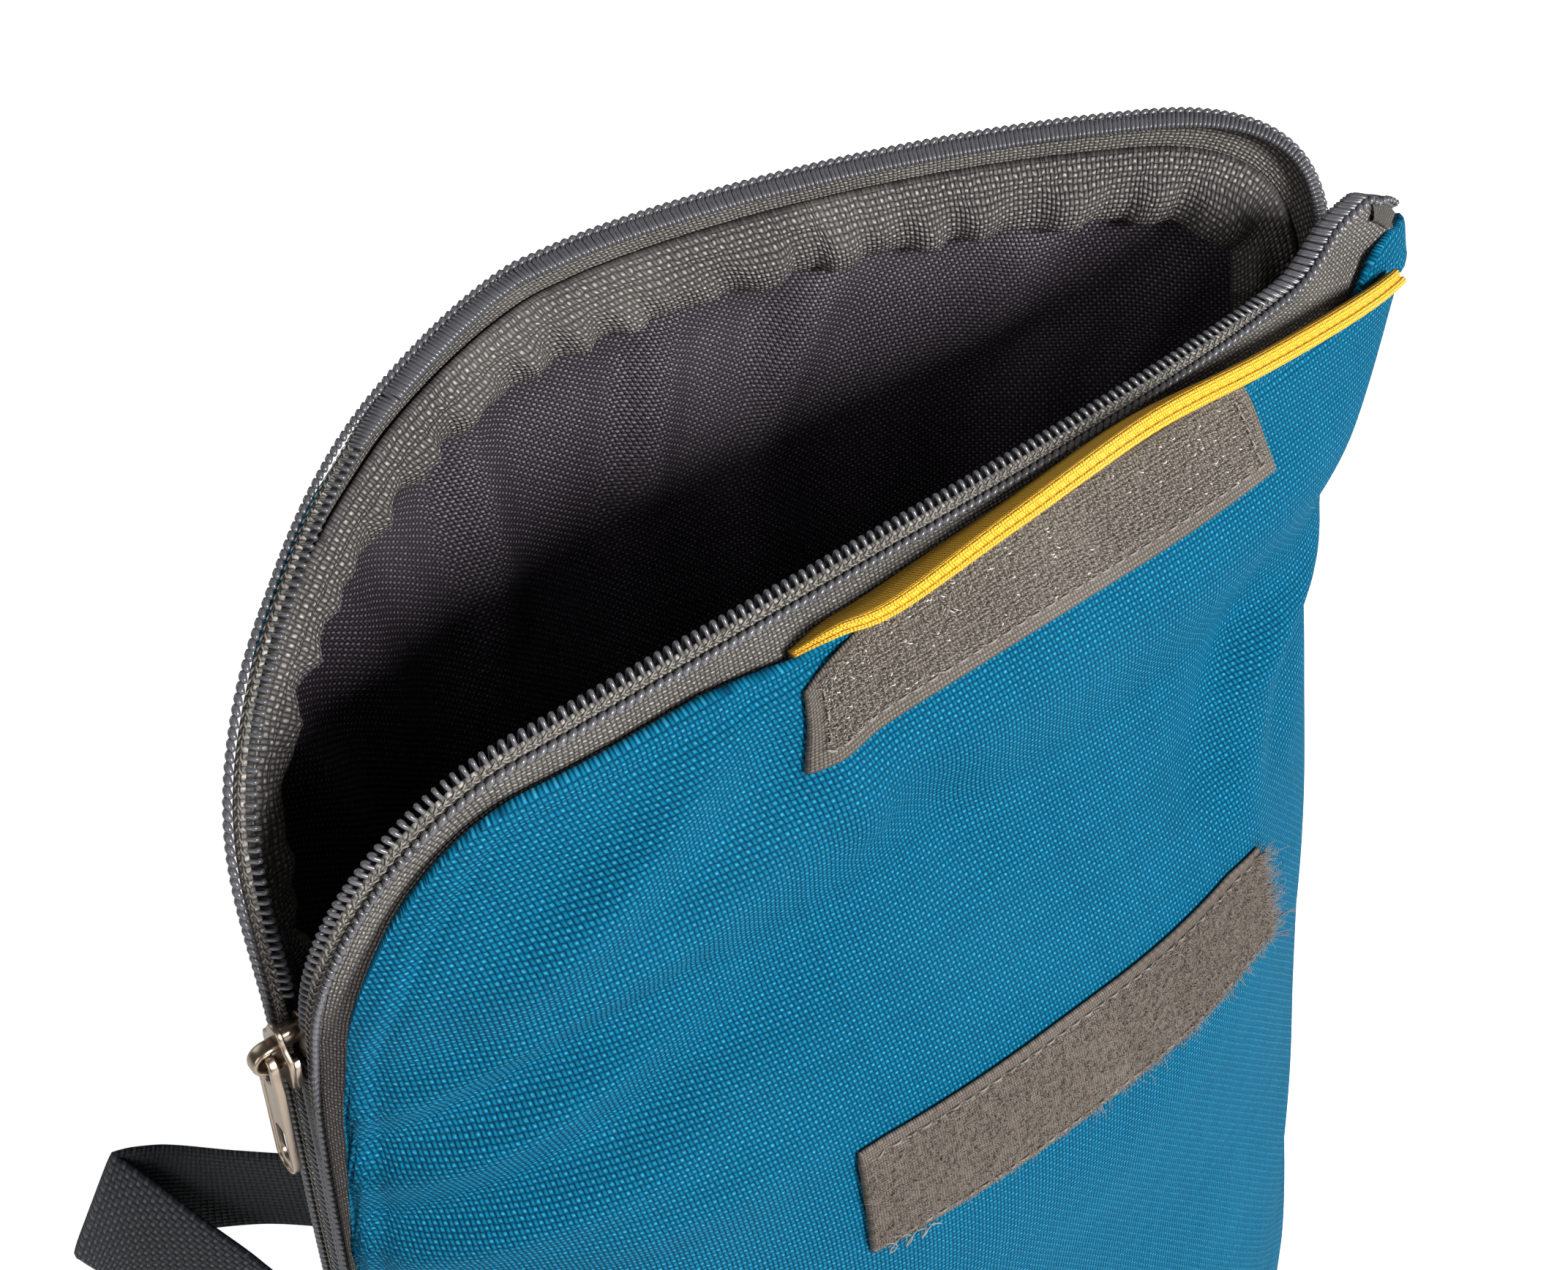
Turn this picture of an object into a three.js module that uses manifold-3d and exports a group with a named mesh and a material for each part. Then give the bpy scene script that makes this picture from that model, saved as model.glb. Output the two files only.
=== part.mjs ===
// A small soft tool backpack standing open: two cloth walls joined by a zip that runs up the left side,
// round the mouth and down the right side, with a hook patch, a loop strip and webbing shoulder straps.
// Millimetres, +Z up, front facing -Y, origin at the middle of the underside of the base.
import * as THREE from "three";
import { mergeVertices } from "three/addons/utils/BufferGeometryUtils.js";
import Module from "manifold-3d";

// Driving dimensions
const mouthHeight = 300;
const clothThick = 1.5;
const liningThick = 1;
const tapeThick = 0.8;
const bindingThick = 1.2;
const gap = 0.3;
const layerGap = 0.7;
const tiny = 1e-6;
const tapeWidth = 13;
const tapeShown = 8;
const bindingWidth = 12;
const zipFoot = 2;
const zipEnd = 2.5;
const sliderHeight = 252;
const sliderLong = 9.6;
const pullLong = 27;
const strapWidth = 25;
const strapThick = 1.6;
const baseThick = 2;
const seamGap = 0.2;
const hookPatch = { left: -0.295, right: 0.51, fan: 0.035, foot: 275, top: 290.5, thick: 1.5 };
const loopStrip = { left: -0.38, right: 0.39, fan: 0, foot: 187.5, top: 208, thick: 2 };

// Offsets of each layer from the middle of the zip tape, outwards positive
const panelInner = tapeThick / 2 + layerGap;
const panelOuter = panelInner + clothThick;
const liningOuter = -tapeThick / 2 - layerGap;
const liningInner = liningOuter - liningThick;
const bindingSeat = { front: 1.8, back: 0.7 };

// Rows of a table as objects with the names of its columns
function named(columns, rows) {
  return rows.map((row) => Object.fromEntries(columns.map((name, c) => [name, row[c]])));
}

// Wall sections from the base up. left and right: seam distance from the middle. bulge: depth of the wall
// in front of, or behind, the seams. apex: side shift of the deepest point. leftRun and rightRun: length over
// which it rounds off to each seam. leftPower and rightPower: fullness of that rounding, 2 for an ellipse.
const sectionColumns = [
  "height", "left", "right", "bulge", "apex", "leftRun", "rightRun", "leftPower", "rightPower",
];
const frontSections = [
  [0, 100, 100, 57, 0, 60, 60, 2, 2],
  [14, 108, 109, 64, 0, 66, 62, 2, 2],
  [70, 111, 110, 62, 4, 85, 74, 2, 2],
  [130, 110, 104, 54, 10, 100, 84, 2, 2],
  [190, 108, 95, 48, 14, 110, 86, 2, 2],
  [250, 105, 95.5, 24, 8, 82, 79, 2, 2],
  [265, 104.5, 101.5, 23.5, 6, 75, 74, 2, 2],
  [280, 104, 107.5, 17, 3, 69, 78, 2, 2],
  [292, 103, 108.5, 13, 0, 52, 88, 2, 2],
  [306, 102, 95.5, 7.5, 0, 19, 109, 2, 2],
];
const backSections = [
  [0, 100, 100, 57, 0, 60, 60, 2, 2],
  [14, 108, 109, 63, 0, 66, 66, 2, 2],
  [70, 111, 110, 60, 0, 85, 85, 2, 2],
  [130, 110, 104, 57, 0, 96, 94, 2, 2],
  [190, 108, 95, 56, 0, 104, 97, 1.9, 1.9],
  [250, 105, 95.5, 61, -1, 84, 96, 1.8, 1.8],
  [265, 104.5, 101.5, 62, -3, 80, 100, 1.75, 1.74],
  [280, 104, 104.5, 62.5, -6.5, 78, 108, 1.64, 1.66],
  [292, 103, 108, 62.5, -11.5, 82, 117, 1.52, 1.6],
  [306, 102, 117.5, 63, -20, 91, 129, 1.4, 1.54],
];

// Folds of the cloth, each a soft ridge (depth above 0) or valley along a line across a wall.
// side runs from -1 at the left seam to 1 at the right seam.
const foldColumns = ["fromSide", "fromHeight", "toSide", "toHeight", "width", "depth"];
const frontFolds = named(foldColumns, [
  [0.72, 258, 0.24, 222, 9, -4.5],
  [0.66, 246, 0.34, 205, 10, 3],
  [-0.74, 246, -0.28, 282, 7, 3.2],
  [-0.8, 226, -0.3, 246, 8, -3],
  [-0.85, 205, -0.35, 214, 7, 2.6],
  [-0.85, 186, -0.48, 178, 8, -2.6],
  [0.95, 120, 0.5, 60, 12, -3],
]);
const liningFolds = named(foldColumns, [
  [-0.35, 285, -0.28, 190, 9, -3],
  [-0.12, 285, -0.1, 215, 8, 2.2],
  [0.12, 285, 0.2, 200, 8, -2.6],
  [0.55, 285, 0.45, 200, 10, 2.2],
  [0.8, 250, 0.55, 150, 12, -3],
  [-0.8, 250, -0.5, 150, 12, -2.5],
]);

// Corners of the zip line on each wall: how far across from the seam and how far down the corner reaches.
// cornerEase: how slowly the line leaves the seam, 1 for an ellipse.
const corners = {
  front: { leftAcross: 35, leftDrop: 76, rightAcross: 5, rightDrop: 3, topRise: 0 },
  back: { leftAcross: 72, leftDrop: 64, rightAcross: 48, rightDrop: 48, topRise: 8 },
};
const cornerEase = 1.35;

// Smooth curve through the rows of a table at one height
function rowAt(rows, height) {
  const last = rows.length - 2;
  let k = 0;
  while (k < last && height > rows[k + 1][0]) k += 1;
  const [low, high] = [rows[k], rows[k + 1]];
  const span = high[0] - low[0];
  const t = (height - low[0]) / span;
  const slope = (i, c) => {
    const before = rows[Math.max(i - 1, 0)];
    const after = rows[Math.min(i + 1, rows.length - 1)];
    return (after[c] - before[c]) / (after[0] - before[0]);
  };
  const found = {};
  sectionColumns.forEach((name, c) => {
    const rise = t * t * (3 - 2 * t);
    const ease = (t * t * t - 2 * t * t + t) * slope(k, c) + (t * t * t - t * t) * slope(k + 1, c);
    found[name] = low[c] + (high[c] - low[c]) * rise + ease * span;
  });
  return found;
}

// One side of a wall from its deepest line to the seam: a flat run, then a rounded run in short steps
function halfWall(section, side) {
  const toRight = side > 0;
  const reach = toRight ? section.right - section.apex : section.left + section.apex;
  const run = Math.min(toRight ? section.rightRun : section.leftRun, reach);
  const power = toRight ? section.rightPower : section.leftPower;
  const flat = reach - run;
  const steps = 32;
  const round = (turn) => ({
    across: flat + run * Math.pow(Math.sin(turn), 2 / power),
    depth: section.bulge * Math.pow(Math.max(Math.cos(turn), 0), 2 / power),
  });
  const marks = [{ across: 0, depth: section.bulge, along: 0 }];
  for (let k = 0; k <= steps; k += 1) {
    const mark = round((k / steps) * (Math.PI / 2));
    const before = marks[marks.length - 1];
    mark.along = before.along + Math.hypot(mark.across - before.across, mark.depth - before.depth);
    marks.push(mark);
  }
  return { marks, length: marks[steps + 1].along };
}

const walls = {
  front: { rows: frontSections, facing: -1, corner: corners.front },
  back: { rows: backSections, facing: 1, corner: corners.back },
};

// Length of a wall from its deepest line to a seam
function wallLength(wall, side, height) {
  return halfWall(rowAt(wall.rows, height), side).length;
}

// Point of a wall before its folds
function smoothPoint(wall, side, height) {
  const section = rowAt(wall.rows, height);
  const { marks, length } = halfWall(section, side);
  const along = Math.min(Math.abs(side), 1) * length;
  let k = 1;
  while (k + 1 < marks.length && marks[k].along < along) k += 1;
  const [near, far] = [marks[k - 1], marks[k]];
  const t = (along - near.along) / Math.max(far.along - near.along, tiny);
  const across = near.across + (far.across - near.across) * t;
  const depth = near.depth + (far.depth - near.depth) * t;
  return new THREE.Vector3(section.apex + Math.sign(side) * across, wall.facing * depth, height);
}

function wallNormal(wall, side, height) {
  const step = 0.02;
  const rise = 0.5;
  const s0 = Math.max(side - step, -1);
  const s1 = Math.min(side + step, 1);
  const across = smoothPoint(wall, s1, height).sub(smoothPoint(wall, s0, height));
  const up = smoothPoint(wall, side, height + rise).sub(smoothPoint(wall, side, height - rise));
  return across.cross(up).multiplyScalar(-wall.facing).normalize();
}

// Share of the folds at a place on a wall: none beside the zip, all of them well away from it
function foldShare(wall, side, height) {
  const { leftAcross, leftDrop, rightAcross, rightDrop, topRise } = wall.corner;
  const [wide, drop] = side < 0 ? [leftAcross, leftDrop] : [rightAcross, rightDrop];
  const fromSeam = (1 - Math.abs(side)) * wallLength(wall, side, height);
  const inCorner = Math.max(1 - Math.pow(fromSeam / wide, 1 / cornerEase), 0);
  const zipHeight = mouthHeight + topRise - drop * (1 - Math.sqrt(1 - inCorner * inCorner));
  const clear = Math.min(zipHeight - height, fromSeam);
  const sewn = tapeShown + bindingWidth + 6;
  return THREE.MathUtils.smoothstep(clear, sewn, 2 * sewn);
}

// Height of a set of folds above the smooth wall
function foldRise(wall, folds, side, height) {
  const clothHalf = 118;
  let rise = 0;
  for (const fold of folds) {
    const dx = (fold.toSide - fold.fromSide) * clothHalf;
    const dz = fold.toHeight - fold.fromHeight;
    const px = (side - fold.fromSide) * clothHalf;
    const pz = height - fold.fromHeight;
    const t = (px * dx + pz * dz) / (dx * dx + dz * dz);
    const away = Math.abs(px * dz - pz * dx) / Math.hypot(dx, dz);
    const fade = Math.max(0, 1 - Math.pow(2 * t - 1, 2));
    rise += fold.depth * fade * Math.exp(-Math.pow(away / fold.width, 2));
  }
  return rise * foldShare(wall, side, height);
}

// Point of a wall at an offset from the middle of the zip tape, with or without folds
function wallPoint(wall, side, height, offset, folds = []) {
  const rise = offset + foldRise(wall, folds, side, height);
  const point = smoothPoint(wall, side, height).addScaledVector(wallNormal(wall, side, height), rise);
  return point.setZ(Math.max(point.z, 0));
}

// Closed solid between two grids of points, columns running along rows[i]
function solidBetween(outer, inner) {
  const rows = outer.length;
  const cols = outer[0].length;
  const points = [...outer.flat(), ...inner.flat()];
  const at = (r, c, layer) => layer * rows * cols + r * cols + c;
  const faces = [];
  const quad = (a, b, c, d) => faces.push([a, b, c], [a, c, d]);
  for (let r = 0; r + 1 < rows; r += 1) {
    for (let c = 0; c + 1 < cols; c += 1) {
      quad(at(r, c, 0), at(r, c + 1, 0), at(r + 1, c + 1, 0), at(r + 1, c, 0));
      quad(at(r, c, 1), at(r + 1, c, 1), at(r + 1, c + 1, 1), at(r, c + 1, 1));
    }
  }
  for (let c = 0; c + 1 < cols; c += 1) {
    quad(at(0, c, 1), at(0, c + 1, 1), at(0, c + 1, 0), at(0, c, 0));
    quad(at(rows - 1, c, 0), at(rows - 1, c + 1, 0), at(rows - 1, c + 1, 1), at(rows - 1, c, 1));
  }
  for (let r = 0; r + 1 < rows; r += 1) {
    quad(at(r, 0, 0), at(r + 1, 0, 0), at(r + 1, 0, 1), at(r, 0, 1));
    quad(at(r, cols - 1, 1), at(r + 1, cols - 1, 1), at(r + 1, cols - 1, 0), at(r, cols - 1, 0));
  }
  return geometryOf(points, faces);
}

// Closed solid swept through rings of points, each ring going round the same way
function solidThrough(rings) {
  const count = rings[0].length;
  const points = rings.flat();
  const faces = [];
  for (let k = 0; k + 1 < rings.length; k += 1) {
    for (let i = 0; i < count; i += 1) {
      const j = (i + 1) % count;
      const [a, b] = [k * count + i, k * count + j];
      const [c, d] = [b + count, a + count];
      faces.push([a, b, c], [a, c, d]);
    }
  }
  const flat = (ring) => {
    const right = ring[1].clone().sub(ring[0]).normalize();
    const normal = new THREE.Vector3();
    ring.forEach((p, i) => {
      const q = ring[(i + 1) % count];
      normal.add(p.clone().sub(ring[0]).cross(q.clone().sub(ring[0])));
    });
    const up = normal.normalize().clone().cross(right);
    return ring.map((p) => {
      const d = p.clone().sub(ring[0]);
      return new THREE.Vector2(d.dot(right), d.dot(up));
    });
  };
  const first = THREE.ShapeUtils.triangulateShape(flat(rings[0]), []);
  const start = (rings.length - 1) * count;
  first.forEach(([a, b, c]) => {
    faces.push([c, b, a]);
    faces.push([start + a, start + b, start + c]);
  });
  return geometryOf(points, faces);
}

// Geometry of a closed surface, with its faces turned outwards
function geometryOf(points, faces) {
  const geometry = new THREE.BufferGeometry();
  const flatPoints = points.flatMap((p) => [p.x, p.y, p.z]);
  const volume = faces.reduce(
    (sum, [a, b, c]) => sum + points[a].dot(points[b].clone().cross(points[c])),
    0,
  );
  const index = faces.flatMap(([a, b, c]) => (volume < 0 ? [a, c, b] : [a, b, c]));
  geometry.setAttribute("position", new THREE.Float32BufferAttribute(flatPoints, 3));
  geometry.setIndex(index);
  return geometry;
}

// Joins and cuts
const wasm = await Module();
wasm.setup();

function solidOf(geometry) {
  const bare = geometry.clone();
  bare.deleteAttribute("normal");
  bare.deleteAttribute("uv");
  const merged = mergeVertices(bare, 1e-3);
  const mesh = new wasm.Mesh({
    numProp: 3,
    vertProperties: new Float32Array(merged.attributes.position.array),
    triVerts: new Uint32Array(merged.index.array),
  });
  return new wasm.Manifold(mesh);
}

function geometryOfSolid(solid) {
  const mesh = solid.getMesh();
  const geometry = new THREE.BufferGeometry();
  geometry.setAttribute("position", new THREE.Float32BufferAttribute(mesh.vertProperties, 3));
  geometry.setIndex(new THREE.BufferAttribute(mesh.triVerts, 1));
  return geometry;
}

const bag = new THREE.Group();
const colours = {
  blue: [0x0f73a0, 0.85, 0],
  liningGrey: [0x3b3842, 0.6, 0],
  tapeGrey: [0x6a6661, 0.9, 0],
  coilGrey: [0x55565c, 0.5, 0],
  bindingGrey: [0x77746f, 0.9, 0],
  nickel: [0xb9b0a4, 0.3, 1],
  hookGrey: [0x69625a, 0.9, 0],
  loopGrey: [0x6e645c, 1, 0],
  yellow: [0xf7c92e, 0.85, 0],
  slate: [0x363b40, 0.8, 0],
};

function addPiece(name, geometry, colour, parent = bag) {
  const [color, roughness, metalness] = colours[colour];
  const mesh = new THREE.Mesh(geometry, new THREE.MeshStandardMaterial({ color, roughness, metalness }));
  mesh.name = name;
  parent.add(mesh);
  return mesh;
}

const spread = (from, to, count) =>
  Array.from({ length: count }, (_, i) => from + ((to - from) * i) / (count - 1));

// Zip line of a wall: stops from the foot of the left side, round the left corner and along the mouth to
// its right end. Each has its side and height on the wall, and the way from it into the cloth.
function zipLine(wall) {
  const { corner } = wall;
  const top = mouthHeight + corner.topRise;
  const sideSteps = 14;
  const bendSteps = 12;
  const topSteps = 22;
  const crowd = 1.7;
  const stop = (seam, across, height, inX, inZ) => {
    const side = seam * (1 - across / wallLength(wall, seam, height));
    return { side, height, fromSeam: across, inX, inZ };
  };
  const bend = (seam, wide, drop) =>
    spread(0, Math.PI / 2, bendSteps).map((turn) => {
      const part = 1 - Math.cos(turn);
      const leave = wide * cornerEase * Math.pow(part, cornerEase - 1) * Math.sin(turn);
      const inward = new THREE.Vector2(drop * Math.cos(turn), leave).normalize();
      const height = top - drop * (1 - Math.sin(turn));
      return stop(seam, wide * Math.pow(part, cornerEase), height, -seam * inward.x, -inward.y);
    });
  const sideLong = top - corner.leftDrop - zipFoot;
  const leftSide = spread(0, 1, sideSteps + 1)
    .slice(0, -1)
    .map((t) => stop(-1, 0, zipFoot + sideLong * Math.pow(t, crowd), 1, 0));
  const leftBend = bend(-1, corner.leftAcross, corner.leftDrop);
  const rightBend = bend(1, corner.rightAcross, corner.rightDrop)
    .reverse()
    .filter((found) => found.fromSeam > zipEnd);
  const topSides = spread(leftBend[bendSteps - 1].side, rightBend[0].side, topSteps).slice(1, -1);
  const topRun = topSides.map((side) => ({ side, height: top, inX: 0, inZ: -1 }));
  const mouth = [...leftBend, ...topRun, ...rightBend];
  return { mouth, whole: [...leftSide, ...mouth] };
}

// Place on a wall a distance in from the zip line
function inFromZip(wall, stop, distance) {
  const length = wallLength(wall, stop.side, stop.height);
  const side = stop.side + (stop.inX * distance) / length;
  return { side: THREE.MathUtils.clamp(side, -1, 1), height: stop.height + stop.inZ * distance };
}

// Strip of cloth along the zip line of a wall, between two distances in from it
function zipStrip(wall, near, far, outer, inner, pucker = () => 0) {
  const grid = (offset) =>
    wall.zip.whole.map((stop, k) =>
      [near, (near + far) / 2, far].map((distance) => {
        const { side, height } = inFromZip(wall, stop, distance);
        return wallPoint(wall, side, height, offset + pucker(k));
      }),
    );
  return solidBetween(grid(outer), grid(inner));
}

// Place on a wall between its left edge, a distance in from the zip, and its right seam
function acrossCloth(wall, part, height, edge, seam) {
  const left = -1 + edge / wallLength(wall, -1, height);
  const right = 1 - seam / wallLength(wall, 1, height);
  return left + (right - left) * part;
}

// Height of a line of [place, height] pairs at a place
function heightOn(line, place) {
  const found = line.findIndex(([reach]) => reach >= place);
  if (found < 0) return line[line.length - 1][1];
  const k = Math.max(1, found);
  const [[p0, h0], [p1, h1]] = [line[k - 1], line[k]];
  return h0 + ((h1 - h0) * (place - p0)) / Math.max(p1 - p0, tiny);
}

// Extra tape shown at sides of the mouth, where the seam runs further from the zip
const edgeWidening = [
  [-0.42, 0], [-0.29, 2], [-0.15, 1.7], [0.05, 0.4], [0.3, 0], [0.52, 1.2], [0.72, 3.5], [0.9, 6.8],
  [0.95, 7], [1, 0],
];

// Edge of a cloth wall a distance in from the zip, as sides and heights
function clothEdge(wall, edge) {
  return wall.zip.mouth.map((stop) => {
    const widening = heightOn(edgeWidening, Math.max(stop.side, edgeWidening[0][0]));
    return inFromZip(wall, stop, edge - widening * stop.inZ);
  });
}

// Wall of cloth from a foot height up to its edge beside the zip. Its inner layers sink away from the edge.
function clothWall(wall, shape) {
  const { edge, seam, foot, outer, inner, cols, rows, folds = [], sink = 0 } = shape;
  const crowd = 1.4;
  const rounding = [0.018, 0.04, 0.062];
  const crowdSides = 0.4;
  const ups = spread(0, 1, rows).map((v) => 1 - Math.pow(1 - v, crowd));
  ups.splice(1, 0, ...rounding);
  const parts = spread(0, 1, cols).map((t) => t - (crowdSides * Math.sin(2 * Math.PI * t)) / (2 * Math.PI));
  const line = clothEdge(wall, edge).map(({ side, height }) => {
    const from = acrossCloth(wall, 0, height, edge, seam);
    return [(side - from) / (acrossCloth(wall, 1, height, edge, seam) - from), height];
  });
  line.push([1, line[line.length - 1][1]]);
  const grid = (offset) =>
    ups.map((up) =>
      parts.map((part) => {
        const height = foot + (heightOn(line, part) - foot) * up;
        const side = acrossCloth(wall, part, height, edge, seam);
        return wallPoint(wall, side, height, offset - sink * foldShare(wall, side, height), folds);
      }),
    );
  return solidBetween(grid(outer), grid(inner));
}

for (const wall of Object.values(walls)) wall.zip = zipLine(wall);

// Outer cloth
const panel = { edge: tapeShown, seam: seamGap, foot: 0, outer: panelOuter, inner: panelInner };
const panelFront = { ...panel, cols: 43, rows: 21, folds: frontFolds };
const panelBack = { ...panel, cols: 24, rows: 13 };
addPiece("front_panel", clothWall(walls.front, panelFront), "blue");
addPiece("back_panel", clothWall(walls.back, panelBack), "blue");

// Flat plate across the bag, its edge at an offset from the walls
function plate(low, high, height, offset) {
  const steps = 25;
  const sides = spread(-1, 1, steps).slice(0, -1);
  const edge = [
    ...sides.map((side) => wallPoint(walls.front, side, height, offset)),
    ...sides.map((side) => wallPoint(walls.back, -side, height, offset)),
  ];
  const ring = (level) => edge.map((p) => new THREE.Vector3(p.x, p.y, level));
  return solidThrough([ring(low), ring(high)]);
}

addPiece("base_panel", plate(0, baseThick, 0, panelInner - gap), "blue");

// Lining, seen inside the open mouth
const liningFoot = baseThick + gap;
const liningInset = 5;
const lining = {
  edge: tapeShown + 1.5,
  seam: 2.5,
  foot: liningFoot,
  outer: liningOuter,
  inner: liningInner,
};
const liningFront = { ...lining, cols: 26, rows: 8, sink: 4.5 };
const liningBack = { ...lining, cols: 25, rows: 9, sink: 4, folds: liningFolds };
addPiece("lining_front", clothWall(walls.front, liningFront), "liningGrey");
addPiece("lining_back", clothWall(walls.back, liningBack), "liningGrey");
addPiece(
  "lining_base",
  plate(liningFoot, liningFoot + liningThick, 0, liningInner - liningInset),
  "liningGrey",
);

// Zip: tapes, coils of the open mouth, closed chain below the slider, and the gathered binding inside
const chainHalf = 2.7;
const coilMiddle = 1.4;
const coilRadius = 1.3;
const tapeNear = chainHalf + gap;
const puckerRise = 0.45;
for (const [name, wall] of Object.entries(walls)) {
  const tape = zipStrip(wall, tapeNear, tapeWidth, tapeThick / 2, -tapeThick / 2);
  addPiece(`zip_tape_${name}`, tape, "tapeGrey");
  const pucker = (k) => (k % 2 ? -puckerRise : 0);
  const seat = liningInner - bindingSeat[name];
  const binding = zipStrip(wall, tapeShown, tapeShown + bindingWidth, seat, seat - bindingThick, pucker);
  addPiece(`seam_binding_${name}`, binding, "bindingGrey");
  addPiece(`zip_coil_${name}`, openCoil(wall), "coilGrey");
}

// Coil along the edge of an open tape, as a six-sided rod
function openCoil(wall) {
  const sides = 6;
  const start = sliderHeight + sliderLong / 2 + 1;
  const shown = wall.zip.mouth.filter((stop) => stop.side > 0 || stop.height > start);
  const rings = shown.map((stop) => {
    const near = inFromZip(wall, stop, coilMiddle - coilRadius);
    const far = inFromZip(wall, stop, coilMiddle + coilRadius);
    const a = wallPoint(wall, near.side, near.height, 0);
    const b = wallPoint(wall, far.side, far.height, 0);
    const middle = a.clone().add(b).multiplyScalar(0.5);
    const reach = a.clone().sub(middle).setLength(coilRadius);
    const out = wallNormal(wall, stop.side, stop.height).multiplyScalar(coilRadius);
    return spread(0, 2 * Math.PI, sides + 1).slice(0, -1).map((turn) =>
      middle.clone().addScaledVector(reach, Math.cos(turn)).addScaledVector(out, Math.sin(turn)),
    );
  });
  return solidThrough(rings);
}

// Closed chain down the left seam, into the seam of the base
const chainThick = 2.4;
const chainFoot = baseThick + gap;
const chainTop = sliderHeight - sliderLong / 2 - 0.5;
const chainRings = spread(chainFoot, chainTop, 14).map((height) => {
  const middle = wallPoint(walls.front, -1, height, 0);
  const corners = [[-1, -1], [1, -1], [1, 1], [-1, 1]];
  return corners.map(([out, wide]) =>
    middle.clone().add(new THREE.Vector3((out * chainThick) / 2, wide * chainHalf, 0)),
  );
});
addPiece("zip_chain_closed", solidThrough(chainRings), "coilGrey");

// Slider on the left seam: two plates joined by a post, rims over the chain, and a bridge for the pull.
// Its own frame has X out of the bag and Z up the seam.
const sliderFrame = new THREE.Group();
const seamAt = (height) => wallPoint(walls.front, -1, height, 0);
const lean = Math.atan2(seamAt(sliderHeight).x - seamAt(sliderHeight - pullLong).x, pullLong);
sliderFrame.position.copy(seamAt(sliderHeight));
sliderFrame.rotation.set(0, lean, Math.PI);
bag.add(sliderFrame);

function box(x0, x1, y0, y1, z0, z1) {
  const geometry = new THREE.BoxGeometry(x1 - x0, y1 - y0, z1 - z0);
  return geometry.translate((x0 + x1) / 2, (y0 + y1) / 2, (z0 + z1) / 2);
}

const plain = { bevelEnabled: false, curveSegments: 9 };

// Plate drawn across the seam (y) and along it (z), raised from one level out of the bag to another
function drawnPlate(shape, low, high) {
  const geometry = new THREE.ExtrudeGeometry(shape, { ...plain, depth: high - low });
  const turned = new THREE.Matrix4().makeBasis(
    new THREE.Vector3(0, 1, 0),
    new THREE.Vector3(0, 0, 1),
    new THREE.Vector3(1, 0, 0),
  );
  return geometry.applyMatrix4(turned).translate(low, 0, 0);
}

const plateLow = 1.5;
const plateHigh = 2.4;
const bridge = { axisOut: plateHigh + 1.45, axisUp: 0.4, inner: 1.45, outer: 2.5, half: 0.9 };

function sliderOutline(topHalf, footHalf) {
  const half = sliderLong / 2;
  const shoulder = half * 0.4;
  const cornerIn = 1.6;
  const waist = topHalf - 0.4;
  const shape = new THREE.Shape();
  shape.moveTo(-footHalf, -half);
  shape.lineTo(footHalf, -half);
  shape.lineTo(waist, shoulder);
  shape.quadraticCurveTo(topHalf, half, topHalf - cornerIn, half);
  shape.lineTo(cornerIn - topHalf, half);
  shape.quadraticCurveTo(-topHalf, half, -waist, shoulder);
  return shape;
}

function bridgeShape() {
  const shape = new THREE.Shape();
  const foot = plateHigh - 0.3;
  shape.moveTo(foot, bridge.axisUp - bridge.outer);
  shape.lineTo(bridge.axisOut, bridge.axisUp - bridge.outer);
  shape.absarc(bridge.axisOut, bridge.axisUp, bridge.outer, -Math.PI / 2, Math.PI / 2, false);
  shape.lineTo(foot, bridge.axisUp + bridge.outer);
  shape.lineTo(foot, bridge.axisUp + bridge.inner);
  shape.lineTo(bridge.axisOut, bridge.axisUp + bridge.inner);
  shape.absarc(bridge.axisOut, bridge.axisUp, bridge.inner, Math.PI / 2, -Math.PI / 2, true);
  shape.lineTo(foot, bridge.axisUp - bridge.inner);
  return shape;
}

function sliderGeometry() {
  const half = sliderLong / 2;
  const bite = 0.2;
  const rim = { low: 0.8, near: 3, far: 3.8, foot: 0.5 - half, top: half * 0.3 };
  const post = { half: 0.9, foot: half - 3.4, top: half - 0.4 };
  const arch = new THREE.ExtrudeGeometry(bridgeShape(), { ...plain, depth: 2 * bridge.half });
  arch.rotateX(Math.PI / 2).translate(0, bridge.half, 0);
  const pieces = [
    drawnPlate(sliderOutline(4.6, 3.7), plateLow, plateHigh),
    drawnPlate(sliderOutline(3.4, 2.9), -plateHigh, -plateLow),
    box(-plateLow - bite, plateLow + bite, -post.half, post.half, post.foot, post.top),
    box(rim.low, plateLow + bite, rim.near, rim.far, rim.foot, rim.top),
    box(rim.low, plateLow + bite, -rim.far, -rim.near, rim.foot, rim.top),
    arch,
  ];
  return geometryOfSolid(pieces.map(solidOf).reduce((whole, piece) => whole.add(piece)));
}

addPiece("zip_slider", sliderGeometry(), "nickel", sliderFrame);

// Pull tab, hung by its eye on the slider's bridge and turning about the bar of that eye
const pull = {
  thick: 1.9,
  half: 2.8,
  neck: 2.3,
  shoulder: 5.5,
  footHalf: 2.4,
  eye: { bar: 0.7, end: 3.4, half: 1.3, round: 0.6 },
  slot: { top: 17, foot: 23.6, half: 1.2 },
};

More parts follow.
